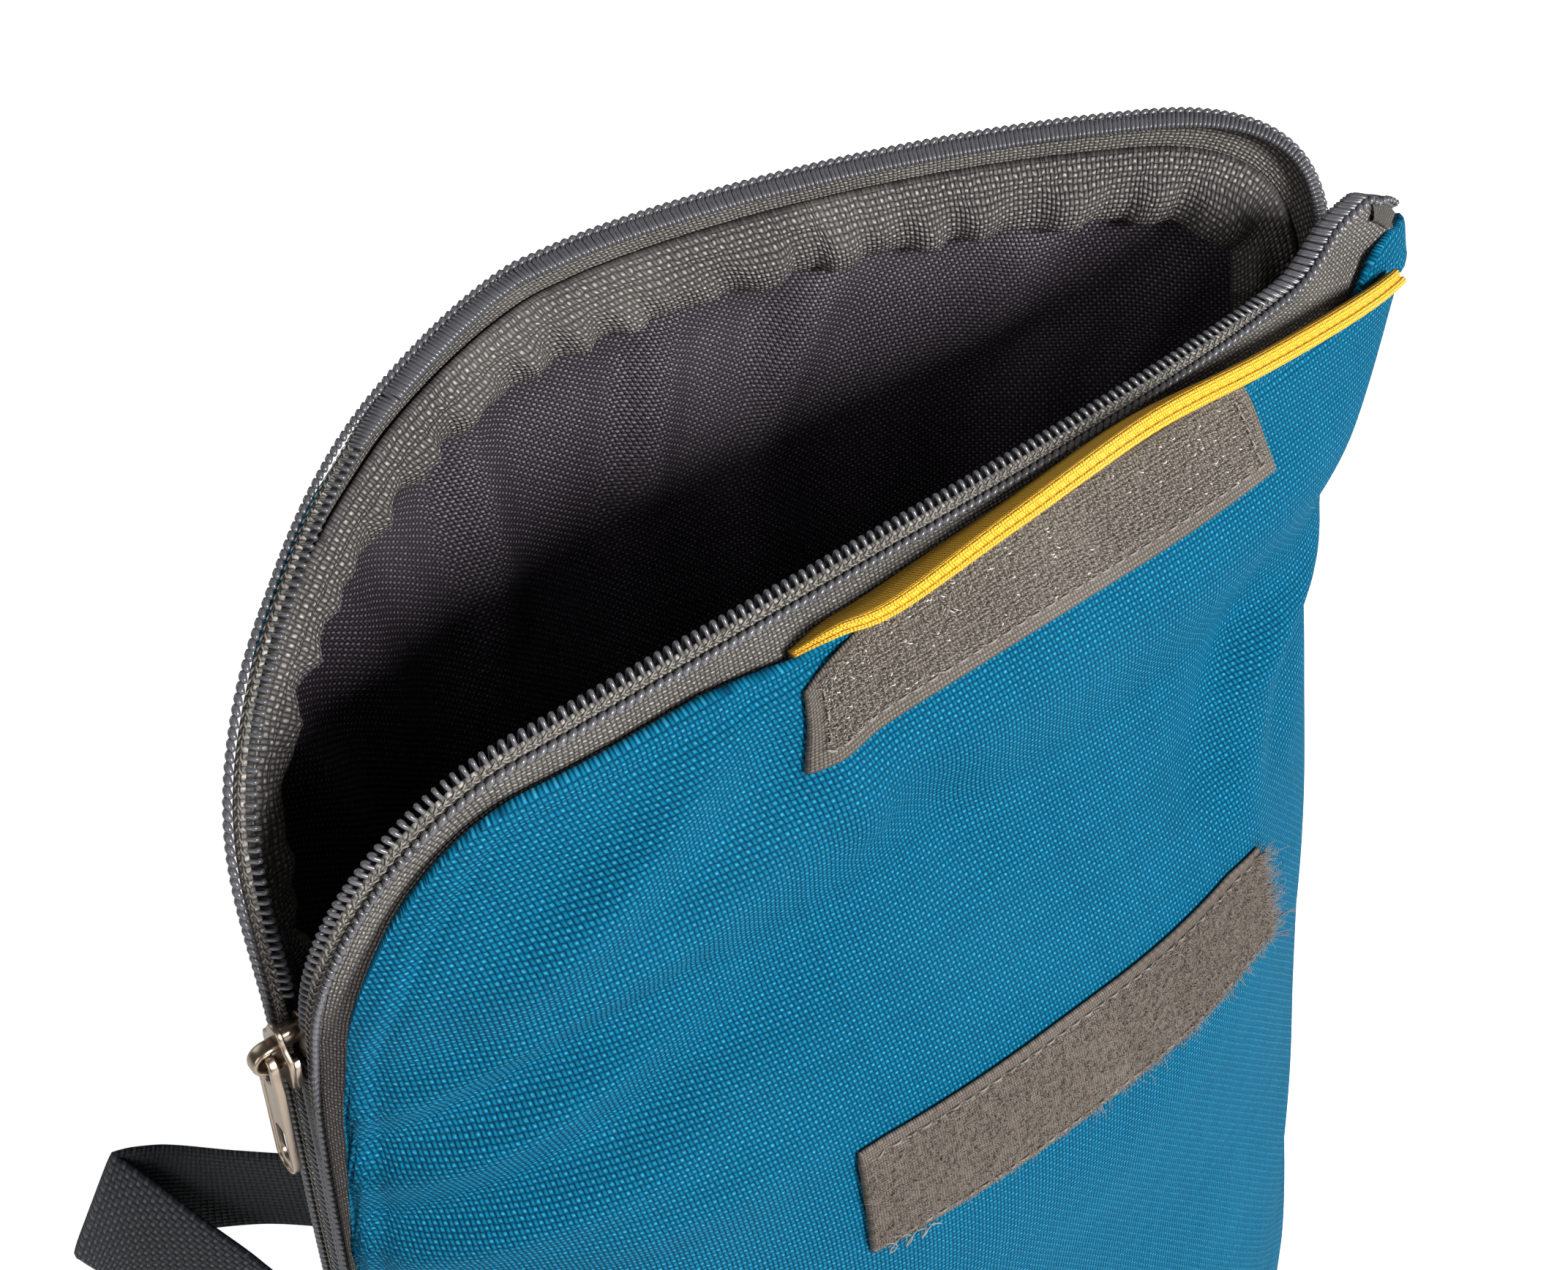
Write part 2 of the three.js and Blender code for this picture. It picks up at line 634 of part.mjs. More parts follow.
function pullShape() {
  const { half, neck, shoulder, footHalf, eye, slot } = pull;
  const foot = footHalf - pullLong;
  const neckFoot = 1 - eye.end;
  const shape = new THREE.Shape();
  shape.moveTo(-neck, eye.bar);
  shape.lineTo(-neck, neckFoot);
  shape.lineTo(-half, -shoulder);
  shape.lineTo(-footHalf, foot);
  shape.absarc(0, foot, footHalf, Math.PI, 2 * Math.PI, false);
  shape.lineTo(half, -shoulder);
  shape.lineTo(neck, neckFoot);
  shape.lineTo(neck, eye.bar);
  const eyeHole = new THREE.Path();
  eyeHole.moveTo(-eye.half, -eye.bar);
  eyeHole.lineTo(eye.half, -eye.bar);
  eyeHole.lineTo(eye.half, eye.round - eye.end);
  eyeHole.quadraticCurveTo(eye.half, -eye.end, 0, -eye.end);
  eyeHole.quadraticCurveTo(-eye.half, -eye.end, -eye.half, eye.round - eye.end);
  const slotHole = new THREE.Path();
  slotHole.absarc(0, -slot.top, slot.half, 0, Math.PI, false);
  slotHole.absarc(0, -slot.foot, slot.half, Math.PI, 2 * Math.PI, false);
  shape.holes.push(eyeHole, slotHole);
  return shape;
}

const pullFrame = new THREE.Group();
pullFrame.position.set(bridge.axisOut, 0, bridge.axisUp);
sliderFrame.add(pullFrame);
addPiece("zip_pull", drawnPlate(pullShape(), -pull.thick / 2, pull.thick / 2), "nickel", pullFrame);

// Hook patch and loop strip, sewn flat on the front
function sewnPatch(patch, cols, rows) {
  const seat = panelOuter + layerGap;
  const grid = (offset) =>
    spread(1, 0, rows).map((low) => {
      const height = patch.top + (patch.foot - patch.top) * low;
      const sides = spread(patch.left - patch.fan * low, patch.right + patch.fan * low, cols);
      return sides.map((side) => wallPoint(walls.front, side, height, offset, frontFolds));
    });
  return solidBetween(grid(seat + patch.thick), grid(seat));
}
addPiece("hook_patch", sewnPatch(hookPatch, 16, 3), "hookGrey");
addPiece("loop_strip", sewnPatch(loopStrip, 16, 3), "loopGrey");

// Yellow edge tape: two layers standing out of the seam under the zip, turning from forwards to upright.
// side: place along the front. drop: how far its root is below the zip line. lean: degrees from upright
// towards the front. out: how far it stands out.
const edgeTapeColumns = ["side", "drop", "lean", "out", "thick"];
const edgeTapeRows = named(edgeTapeColumns, [
  [-0.285, 9.6, 62, 1, 1],
  [-0.23, 9.2, 62, 3.4, 1.9],
  [-0.15, 9.3, 72, 4.8, 2.4],
  [0.05, 8, 38, 8.8, 2.4],
  [0.3, 7.4, 18, 5.2, 2.4],
  [0.52, 8.8, 34, 4.8, 2.4],
  [0.72, 11.1, 22, 4.4, 2.4],
  [0.92, 14.1, 17, 3.7, 2.2],
]);

// Places spread along a curve through one value of each row
function along(rows, pick, count) {
  const curve = new THREE.CatmullRomCurve3(rows.map(pick));
  return spread(0, 1, count).map((t) => ({ at: curve.getPoint(t), way: curve.getTangent(t) }));
}

function edgeTape() {
  const steps = 22;
  const slit = 0.15;
  const slitDeep = 1.2;
  const places = along(edgeTapeRows, (row) => new THREE.Vector3(row.side, row.drop, 0), steps);
  const shapes = along(edgeTapeRows, (row) => new THREE.Vector3(row.lean, row.out, row.thick), steps);
  const rings = shapes.map(({ at: { x: degrees, y: out, z: thick } }, k) => {
    const { x: side, y: drop } = places[k].at;
    const lean = THREE.MathUtils.degToRad(degrees);
    const [forward, upward] = [Math.sin(lean), Math.cos(lean)];
    const height = mouthHeight - drop;
    const ahead = wallNormal(walls.front, side, height).setZ(0).normalize();
    const outward = ahead.clone().multiplyScalar(forward).setZ(upward);
    const over = ahead.clone().multiplyScalar(-upward).setZ(forward);
    const half = thick / 2;
    const root = wallPoint(walls.front, side, height, tapeThick / 2 + gap + half * upward);
    root.z += gap + half * forward;
    const tip = out - Math.min(slitDeep, out * 0.4);
    const section = [[0, -half], [out, -half], [out, -slit], [tip, 0], [out, slit], [out, half], [0, half]];
    return section.map(([a, b]) => root.clone().addScaledVector(outward, a).addScaledVector(over, b));
  });
  return solidThrough(rings);
}
addPiece("edge_tape", edgeTape(), "yellow");

// Shoulder straps: points of the middle of the left strap, and the way from there to its upper edge
const strapColumns = ["x", "y", "z", "edgeX", "edgeY", "edgeZ"];
const strapRows = named(strapColumns, [
  [-79, 33, 138.5, 0, 0.1, 0.99],
  [-93.5, 44, 139, 0, 0.1, 0.99],
  [-105, 54, 139.5, 0.1, 0.08, 0.99],
  [-117, 62, 140, 0.4, 0.05, 0.91],
  [-126.5, 64, 140.5, 0.575, 0.02, 0.82],
  [-128, 56.5, 139.5, 0.57, 0.05, 0.82],
  [-123, 50, 137.5, 0.5, 0.05, 0.86],
  [-118, 42.5, 132, 0.47, 0, 0.88],
  [-116.5, 38.5, 121, 0.62, -0.3, 0.7],
  [-116.5, 36.5, 102, 0.75, -0.6, 0.3],
  [-117, 34, 76, 0.3, -0.95, 0],
  [-115, 30, 44, -0.2, -0.98, 0],
  [-111, 27, 20, -0.35, -0.93, 0],
  [-97, 22, 6, -0.35, -0.93, 0],
]);

function strapGeometry(mirror) {
  const steps = 37;
  const corners = [[-1, -1], [1, -1], [1, 1], [-1, 1]];
  const middleOf = (row) => new THREE.Vector3(mirror * row.x, row.y, row.z);
  const edgeOf = (row) => new THREE.Vector3(mirror * row.edgeX, row.edgeY, row.edgeZ);
  const middles = along(strapRows, middleOf, steps);
  const edges = along(strapRows, edgeOf, steps);
  const rings = middles.map(({ at, way }, k) => {
    const edge = edges[k].at;
    edge.addScaledVector(way, -edge.dot(way)).setLength(strapWidth / 2);
    const face = way.clone().cross(edge).setLength(strapThick / 2);
    return corners.map(([a, b]) => at.clone().addScaledVector(edge, a).addScaledVector(face, b));
  });
  return solidThrough(rings);
}

// Space that the bag takes up, to cut the sewn ends of the straps to its walls
function bagEnvelope() {
  const offset = panelOuter + 3 * gap;
  const highest = 200;
  const sides = spread(-1, 1, 33).slice(0, -1);
  const rings = spread(0, highest, 24).map((height) => [
    ...sides.map((side) => wallPoint(walls.front, side, height, offset)),
    ...sides.map((side) => wallPoint(walls.back, -side, height, offset)),
  ]);
  return solidOf(solidThrough(rings));
}

const envelope = bagEnvelope();
for (const [name, mirror] of [["strap_left", 1], ["strap_right", -1]]) {
  const cut = solidOf(strapGeometry(mirror)).subtract(envelope);
  addPiece(name, geometryOfSolid(cut), "slate");
}

export default bag;
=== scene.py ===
import math

import bpy
import numpy as np
from mathutils import Matrix, Vector
from mathutils.kdtree import KDTree


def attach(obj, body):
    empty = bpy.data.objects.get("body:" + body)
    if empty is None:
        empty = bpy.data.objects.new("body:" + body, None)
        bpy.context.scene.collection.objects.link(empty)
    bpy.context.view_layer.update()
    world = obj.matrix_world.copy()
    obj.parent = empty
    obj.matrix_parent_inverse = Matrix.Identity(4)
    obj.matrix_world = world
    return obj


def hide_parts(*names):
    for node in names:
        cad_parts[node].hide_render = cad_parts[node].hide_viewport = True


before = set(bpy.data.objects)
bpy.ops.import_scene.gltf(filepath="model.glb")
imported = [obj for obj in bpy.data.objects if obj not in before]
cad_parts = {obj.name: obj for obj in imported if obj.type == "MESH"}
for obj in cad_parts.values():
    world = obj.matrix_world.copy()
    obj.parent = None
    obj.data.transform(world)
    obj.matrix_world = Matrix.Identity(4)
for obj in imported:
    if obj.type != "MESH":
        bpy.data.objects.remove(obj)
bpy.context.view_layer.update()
print("frame loaded:", len(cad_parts), "nodes")

mm = 0.001

# Camera at the photograph's angle, in metres and degrees
camera = {
    "place": (-0.1536, -0.1658, 0.497),
    "lookDown": 46,
    "turn": -39,
    "focalPixels": 2900,
    "imageWidth": 2143,
    "sensor": 36,
}


def makeCamera():
    data = bpy.data.cameras.new("photoCamera")
    data.sensor_fit = "HORIZONTAL"
    data.sensor_width = camera["sensor"]
    data.lens = camera["sensor"] * camera["focalPixels"] / camera["imageWidth"]
    data.clip_start = 0.01
    eye = bpy.data.objects.new("photoCamera", data)
    eye.location = camera["place"]
    eye.rotation_euler = (math.radians(90 - camera["lookDown"]), 0, math.radians(camera["turn"]))
    bpy.context.scene.collection.objects.link(eye)
    bpy.context.scene.camera = eye


# A softbox above the front, weak ones at the left and behind, and a white sweep that glows for the camera
studio = {
    "room": (1.0, 1.0, 1.0),
    "roomLight": 0.1,
    "floor": (0.85, 0.85, 0.85),
    "floorLight": 0.75,
    "floorGlow": 0.12,
    "floorHalf": 3.0,
    "softboxes": [
        {"name": "frontRight", "place": (0.35, -1.2, 0.87), "size": 0.45, "power": 37},
        {"name": "frontLeft", "place": (-1.2, -0.5, 0.75), "size": 0.9, "power": 6},
        {"name": "behind", "place": (-0.5, 1.3, 0.9), "size": 1.0, "power": 5},
    ],
    "aim": (0.0, 0.0, 0.22),
}


def makeStudio():
    world = bpy.data.worlds.new("paleRoom")
    world.use_nodes = True
    backdrop = world.node_tree.nodes["Background"]
    backdrop.inputs["Color"].default_value = (*studio["room"], 1)
    backdrop.inputs["Strength"].default_value = studio["roomLight"]
    bpy.context.scene.world = world
    bpy.context.scene.view_settings.view_transform = "Standard"
    for box in studio["softboxes"]:
        lamp = bpy.data.lights.new(box["name"], "AREA")
        lamp.size = box["size"]
        lamp.energy = box["power"]
        stand = bpy.data.objects.new(box["name"], lamp)
        stand.location = box["place"]
        aim = Vector(studio["aim"]) - Vector(box["place"])
        stand.rotation_euler = aim.to_track_quat("-Z", "Y").to_euler()
        bpy.context.scene.collection.objects.link(stand)
    reach = studio["floorHalf"]
    mesh = bpy.data.meshes.new("floor")
    corners = [(-reach, -reach, 0), (reach, -reach, 0), (reach, reach, 0), (-reach, reach, 0)]
    mesh.from_pydata(corners, [], [(0, 1, 2, 3)])
    floor = bpy.data.objects.new("floor", mesh)
    paint = bpy.data.materials.new("floorPaint")
    paint.use_nodes = True
    sweep = paint.node_tree.nodes["Principled BSDF"].inputs
    sweep["Base Color"].default_value = (*studio["floor"], 1)
    sweep["Roughness"].default_value = 0.9
    sweep["Emission Color"].default_value = (*studio["room"], 1)
    rays = paint.node_tree.nodes.new("ShaderNodeLightPath")
    glow = paint.node_tree.nodes.new("ShaderNodeMapRange")
    glow.inputs["To Min"].default_value = studio["floorGlow"]
    glow.inputs["To Max"].default_value = studio["floorLight"]
    paint.node_tree.links.new(rays.outputs["Is Camera Ray"], glow.inputs["Value"])
    paint.node_tree.links.new(glow.outputs["Result"], sweep["Emission Strength"])
    mesh.materials.append(paint)
    bpy.context.scene.collection.objects.link(floor)


makeCamera()
makeStudio()
print("camera and studio set")


# Shader helpers
def shade(red, green, blue):  # screen colour to the linear colour that shaders use
    shares = [c / 255 for c in (red, green, blue)]
    return tuple(c / 12.92 if c < 0.0405 else ((c + 0.055) / 1.055) ** 2.4 for c in shares) + (1,)


def setIn(tree, socket, value):
    if isinstance(value, bpy.types.NodeSocket):
        tree.links.new(value, socket)
    else:
        socket.default_value = value


def calc(tree, operation, first, second=0.0, third=0.0):
    node = tree.nodes.new("ShaderNodeMath")
    node.operation = operation
    for socket, value in zip(node.inputs, (first, second, third)):
        setIn(tree, socket, value)
    return node.outputs[0]


def mixColour(tree, share, first, second):
    node = tree.nodes.new("ShaderNodeMix")
    node.data_type = "RGBA"
    for name, value in (("Factor_Float", share), ("A_Color", first), ("B_Color", second)):
        setIn(tree, next(s for s in node.inputs if s.identifier == name), value)
    return next(s for s in node.outputs if s.identifier == "Result_Color")


def rise(tree, value, low, high):  # soft step from 0 at low to 1 at high
    node = tree.nodes.new("ShaderNodeMapRange")
    node.interpolation_type = "SMOOTHSTEP"
    for name, number in (("Value", value), ("From Min", low), ("From Max", high)):
        setIn(tree, node.inputs[name], number)
    return node.outputs["Result"]


def newGroup(name, inputs, outputs):
    group = bpy.data.node_groups.new(name, "ShaderNodeTree")
    for label, value in inputs.items():
        kind = "NodeSocketVector" if value is None else "NodeSocketFloat"
        socket = group.interface.new_socket(label, in_out="INPUT", socket_type=kind)
        if value is not None:
            socket.default_value = value
    for label in outputs:
        group.interface.new_socket(label, in_out="OUTPUT", socket_type="NodeSocketFloat")
    return group, group.nodes.new("NodeGroupInput").outputs, group.nodes.new("NodeGroupOutput").inputs


def noise(tree, place, scale, detail=2.0):
    node = tree.nodes.new("ShaderNodeTexNoise")
    tree.links.new(place, node.inputs["Vector"])
    setIn(tree, node.inputs["Scale"], scale)
    node.inputs["Detail"].default_value = detail
    return node.outputs["Fac"]


def makeWeaveGroup():  # threads crossing over and under; Floats is 1 for plain weave, 2 and up for twill
    inputs = {"Place": None, "Warp": 0.8, "Weft": 0.8, "Floats": 1.0, "Wander": 0.1}
    tree, given, out = newGroup("threadWeave", inputs, ["Height", "Weft", "Thread"])
    parts = tree.nodes.new("ShaderNodeSeparateXYZ")
    tree.links.new(given["Place"], parts.inputs[0])
    drift = calc(tree, "SUBTRACT", noise(tree, given["Place"], 0.35), 0.5)
    drift = calc(tree, "MULTIPLY", drift, given["Wander"])
    across = calc(tree, "ADD", calc(tree, "DIVIDE", parts.outputs["X"], given["Warp"]), drift)
    along = calc(tree, "ADD", calc(tree, "DIVIDE", parts.outputs["Y"], given["Weft"]), drift)
    column, row = calc(tree, "FLOOR", across), calc(tree, "FLOOR", along)
    period = calc(tree, "MULTIPLY", given["Floats"], 2.0)
    turn = calc(tree, "FLOORED_MODULO", calc(tree, "ADD", column, row), period)
    weft = calc(tree, "LESS_THAN", turn, calc(tree, "SUBTRACT", given["Floats"], 0.01))
    warpRound = calc(tree, "SINE", calc(tree, "MULTIPLY", calc(tree, "FRACT", across), math.pi))
    weftRound = calc(tree, "SINE", calc(tree, "MULTIPLY", calc(tree, "FRACT", along), math.pi))
    arch = lambda turned: calc(tree, "MULTIPLY_ADD", turned, 0.5, 0.5)
    weftHigh = calc(tree, "MULTIPLY", calc(tree, "POWER", weftRound, 0.7), arch(warpRound))
    warpHigh = calc(tree, "MULTIPLY", calc(tree, "POWER", warpRound, 0.7), arch(weftRound))
    down = calc(tree, "SUBTRACT", 1.0, weft)
    high = calc(tree, "ADD", calc(tree, "MULTIPLY", weftHigh, weft), calc(tree, "MULTIPLY", warpHigh, down))
    warpPick = calc(tree, "MULTIPLY", calc(tree, "ADD", column, 0.5), down)
    pick = calc(tree, "ADD", calc(tree, "MULTIPLY", row, weft), warpPick)
    dye = tree.nodes.new("ShaderNodeTexWhiteNoise")
    dye.noise_dimensions = "1D"
    tree.links.new(pick, dye.inputs["W"])
    for name, value in (("Height", high), ("Weft", weft), ("Thread", dye.outputs["Value"])):
        tree.links.new(value, out[name])
    return tree


def makeFuzzGroup():  # fine fibres and broad fading
    tree, given, out = newGroup("fibreFuzz", {"Place": None, "Fine": 3.0, "Broad": 0.03}, ["Fuzz", "Fade"])
    tree.links.new(noise(tree, given["Place"], given["Fine"], 4.0), out["Fuzz"])
    tree.links.new(noise(tree, given["Place"], given["Broad"], 3.0), out["Fade"])
    return tree


weaveGroup, fuzzGroup = makeWeaveGroup(), makeFuzzGroup()


def placeGroup(tree, group, place, **values):
    node = tree.nodes.new("ShaderNodeGroup")
    node.node_tree = group
    tree.links.new(place, node.inputs["Place"])
    for name, value in values.items():
        node.inputs[name].default_value = value
    return node.outputs


def newMaterial(name):
    material = bpy.data.materials.new(name)
    material.use_nodes = True
    tree = material.node_tree
    return material, tree, tree.nodes["Principled BSDF"].inputs


def clothPlace(tree):
    node = tree.nodes.new("ShaderNodeUVMap")
    node.uv_map = "cloth"
    return node.outputs[0]


def wovenMaterial(name, look):  # cloth whose threads show, from a dictionary of its finish, with painted shade low in the weave and a painted highlight on the weft tops
    material, tree, shader = newMaterial(name)
    place = clothPlace(tree)
    weave = placeGroup(tree, weaveGroup, place, Warp=look["warp"], Weft=look["weft"],
                       Floats=look.get("floats", 1.0), Wander=look.get("wander", 0.2))
    fuzz = placeGroup(tree, fuzzGroup, place, Fine=look.get("fine", 3.0))
    # the gap colour in the low parts of the weave is painted shade between the threads
    body = mixColour(tree, weave["Height"], look["gap"], look["thread"])
    # the crown colour on the weft tops is a painted highlight, broken up by the fibres
    crown = rise(tree, weave["Height"], look.get("highlightFrom", 0.55), 1.0)
    crown = calc(tree, "MULTIPLY", crown, weave["Weft"])
    speck = rise(tree, fuzz["Fuzz"], look.get("speckFrom", 0.3), look.get("speckTo", 0.7))
    paintedHighlight = calc(tree, "MULTIPLY", calc(tree, "MULTIPLY", crown, speck), look["highlightShare"])
    body = mixColour(tree, paintedHighlight, body, look["crown"])
    dyed = calc(tree, "MULTIPLY", weave["Thread"], look.get("threadVary", 0.15))
    body = mixColour(tree, dyed, body, look["gap"])
    faded = calc(tree, "MULTIPLY", rise(tree, fuzz["Fade"], 0.4, 0.75), look.get("fade", 0.15))
    setIn(tree, shader["Base Color"], mixColour(tree, faded, body, look["crown"]))
    rough = calc(tree, "MULTIPLY_ADD", fuzz["Fuzz"], 0.15, look["rough"])
    setIn(tree, shader["Roughness"], rough)
    shader["Specular IOR Level"].default_value = look.get("gloss", 0.3)
    bump = tree.nodes.new("ShaderNodeBump")
    relief = calc(tree, "MULTIPLY_ADD", fuzz["Fuzz"], look.get("fuzz", 0.25), weave["Height"])
    tree.links.new(relief, bump.inputs["Height"])
    bump.inputs["Distance"].default_value = look["relief"] * mm
    tree.links.new(bump.outputs[0], shader["Normal"])
    return material


def fibreMaterial(name, colour, rough, gloss=0.4, vary=0.3):  # single threads and fibres
    material, tree, shader = newMaterial(name)
    node = tree.nodes.new("ShaderNodeTexCoord")
    grain = noise(tree, node.outputs["Object"], 900.0)
    dark = tuple(c * (1 - vary) for c in colour[:3]) + (1,)
    setIn(tree, shader["Base Color"], mixColour(tree, grain, dark, colour))
    setIn(tree, shader["Roughness"], calc(tree, "MULTIPLY_ADD", grain, 0.2, rough - 0.1))
    shader["Specular IOR Level"].default_value = gloss
    return material


def metalMaterial(name, colour):
    material, tree, shader = newMaterial(name)
    node = tree.nodes.new("ShaderNodeTexCoord")
    pits = noise(tree, node.outputs["Object"], 2500.0, 4.0)
    cloud = noise(tree, node.outputs["Object"], 220.0)
    dull = tuple(c * 0.8 for c in colour[:3]) + (1,)
    setIn(tree, shader["Base Color"], mixColour(tree, cloud, dull, colour))
    setIn(tree, shader["Roughness"], calc(tree, "MULTIPLY_ADD", cloud, 0.2, 0.2))
    shader["Metallic"].default_value = 1.0
    bump = tree.nodes.new("ShaderNodeBump")
    tree.links.new(pits, bump.inputs["Height"])
    bump.inputs["Distance"].default_value = 0.02 * mm
    bump.inputs["Strength"].default_value = 0.5
    tree.links.new(bump.outputs[0], shader["Normal"])
    return material


wovenLooks = {  # thread widths and relief in millimetres; gap is painted shade between the threads, crown a painted highlight on the weft tops
    "blueCloth": {
        "gap": shade(0, 44, 70), "thread": shade(0, 108, 144), "crown": shade(64, 166, 200),
        "highlightShare": 0.75, "highlightFrom": 0.65, "warp": 0.75, "weft": 0.85, "threadVary": 0.22, "fade": 0.03,
        "rough": 0.75, "gloss": 0.08, "relief": 0.4, "fuzz": 0.25, "wander": 0.4,
    },
    "lining": {
        "gap": shade(16, 12, 16), "thread": shade(52, 45, 53), "crown": shade(166, 158, 168),
        "highlightShare": 0.7, "highlightFrom": 0.5, "warp": 0.7, "weft": 0.7, "threadVary": 0.1, "fade": 0.04,
        "rough": 0.42, "gloss": 0.5, "relief": 0.2, "fuzz": 0.1, "fine": 2.0,
    },
    "zipTape": {
        "gap": shade(40, 38, 36), "thread": shade(116, 111, 106), "crown": shade(196, 190, 182),
        "highlightShare": 0.75, "warp": 0.75, "weft": 0.5, "threadVary": 0.3, "fade": 0.1, "rough": 0.75,
        "relief": 0.35, "wander": 1.2, "speckFrom": 0.35, "speckTo": 0.6,
    },
    "binding": {
        "gap": shade(38, 36, 34), "thread": shade(104, 100, 97), "crown": shade(214, 208, 200),
        "highlightShare": 0.85, "warp": 0.8, "weft": 0.8, "threadVary": 0.35, "fade": 0.1, "rough": 0.5,
        "gloss": 0.5, "relief": 0.45, "wander": 0.7,
    },
    "hookBase": {
        "gap": shade(62, 57, 52), "thread": shade(110, 103, 95), "crown": shade(160, 153, 144),
        "highlightShare": 0.4, "warp": 0.6, "weft": 0.6, "threadVary": 0.25, "rough": 0.8, "relief": 0.25,
        "wander": 0.4,
    },
    "loopBase": {
        "gap": shade(70, 62, 56), "thread": shade(112, 103, 95), "crown": shade(150, 141, 132),
        "highlightShare": 0.3, "warp": 0.45, "weft": 0.45, "floats": 2.0, "threadVary": 0.2, "rough": 0.9,
        "relief": 0.2, "fuzz": 0.8,
    },
    "yellowTwill": {
        "gap": shade(212, 148, 28), "thread": shade(248, 198, 64), "crown": shade(255, 226, 134),
        "highlightShare": 0.4, "warp": 0.5, "weft": 0.55, "floats": 2.0, "threadVary": 0.12, "fade": 0.1,
        "rough": 0.8, "relief": 0.3,
    },
    "webbing": {
        "gap": shade(20, 22, 24), "thread": shade(50, 55, 58), "crown": shade(116, 123, 126),
        "highlightShare": 0.75, "highlightFrom": 0.4, "warp": 1.15, "weft": 1.1, "threadVary": 0.1, "fade": 0.08,
        "rough": 0.6, "gloss": 0.3, "relief": 0.5,
    },
    # the same webbing made darker for the strap's inner face: painted shade
    "shadedWebbing": {
        "gap": shade(12, 13, 15), "thread": shade(32, 35, 38), "crown": shade(56, 60, 63), "highlightShare": 0.4,
        "warp": 1.15, "weft": 1.1, "threadVary": 0.1, "rough": 0.6, "gloss": 0.3, "relief": 0.4,
    },
}
fibreLooks = {
    "coilNylon": {"colour": shade(92, 92, 96), "rough": 0.28, "gloss": 0.7, "vary": 0.4},
    "greyThread": {"colour": shade(132, 127, 119), "rough": 0.6},
    "brownFibre": {"colour": shade(132, 121, 112), "rough": 0.8, "gloss": 0.3},
    "hookNylon": {"colour": shade(150, 143, 134), "rough": 0.35, "gloss": 0.7},
    # white for the few hooks that stand for glints of light: painted highlights
    "glintNylon": {"colour": shade(222, 217, 210), "rough": 0.3, "gloss": 0.8, "vary": 0.2},
}
finishes = {name: wovenMaterial(name, look) for name, look in wovenLooks.items()}
finishes |= {name: fibreMaterial(name, **look) for name, look in fibreLooks.items()}
finishes["nickel"] = metalMaterial("nickel", shade(172, 156, 139))
print("finishes made:", len(finishes))

# Walls of the bag in millimetres. left and right are the seams' distances from the middle, bulge the depth,
# apex the side shift of the deepest point, runs the lengths over which a wall rounds off to each seam, and
# powers their fullness.
front = {
    "facing": -1,
    "rows": np.array([  # height, left, right, bulge, apex, leftRun, rightRun, leftPower, rightPower
        [0, 100, 100, 57, 0, 60, 60, 2, 2],
        [14, 108, 109, 64, 0, 66, 62, 2, 2],
        [70, 111, 110, 62, 4, 85, 74, 2, 2],
        [130, 110, 104, 54, 10, 100, 84, 2, 2],
        [190, 108, 95, 48, 14, 110, 86, 2, 2],
        [250, 105, 95.5, 24, 8, 82, 79, 2, 2],
        [265, 104.5, 101.5, 23.5, 6, 75, 74, 2, 2],
        [280, 104, 107.5, 17, 3, 69, 78, 2, 2],
        [292, 103, 108.5, 13, 0, 52, 88, 2, 2],
        [306, 102, 95.5, 7.5, 0, 19, 109, 2, 2],
    ]),
    "corner": {
        "leftAcross": 35, "leftDrop": 76, "rightAcross": 5, "rightDrop": 12, "topRise": 0, "tipRise": 5.2,
    },
}
back = {
    "facing": 1,
    "rows": np.array([
        [0, 100, 100, 57, 0, 60, 60, 2, 2],
        [14, 108, 109, 63, 0, 66, 66, 2, 2],
        [70, 111, 110, 60, 0, 85, 85, 2, 2],
        [130, 110, 104, 57, 0, 96, 94, 2, 2],
        [190, 108, 95, 56, 0, 104, 97, 1.9, 1.9],
        [250, 105, 95.5, 61, -1, 84, 96, 1.8, 1.8],
        [265, 104.5, 101.5, 62, -3, 80, 100, 1.75, 1.74],
        [280, 104, 104.5, 62.5, -6.5, 78, 108, 1.64, 1.66],
        [292, 103, 108, 62.5, -11.5, 82, 117, 1.52, 1.6],
        [306, 102, 117.5, 63, -20, 91, 129, 1.4, 1.54],
    ]),
    "corner": {
        "leftAcross": 72, "leftDrop": 64, "rightAcross": 48, "rightDrop": 48, "topRise": 8, "tipRise": 0,
    },
}
layers = {  # offsets from the middle of the zip tape, outwards positive
    "panelInner": 1.1, "panelOuter": 2.6, "patchSeat": 3.3, "liningOuter": -1.1, "liningInner": -2.1,
    "tapeHalf": 0.4, "bindingFront": -3.9, "bindingBack": -2.8, "bindingThick": 1.2,
}
zipSizes = {
    "mouth": 300, "foot": 2, "end": 0.05, "tapeShown": 8, "cornerEase": 1.35,
    "sliderHeight": 252, "sliderLong": 9.6,
}


def sectionAt(rows, height):  # smooth curve through the rows of a table
    last = len(rows) - 1
    index = np.arange(len(rows))
    before, after = rows[np.maximum(index - 1, 0)], rows[np.minimum(index + 1, last)]
    slope = (after - before) / (after[:, :1] - before[:, :1])
    k = np.clip(np.searchsorted(rows[:, 0], height) - 1, 0, last - 1)
    low, high = rows[k], rows[k + 1]
    span = high[:, :1] - low[:, :1]
    t = (height[:, None] - low[:, :1]) / span
    ease = (t**3 - 2 * t**2 + t) * slope[k] + (t**3 - t**2) * slope[k + 1]
    return (low + (high - low) * t * t * (3 - 2 * t) + ease * span).T


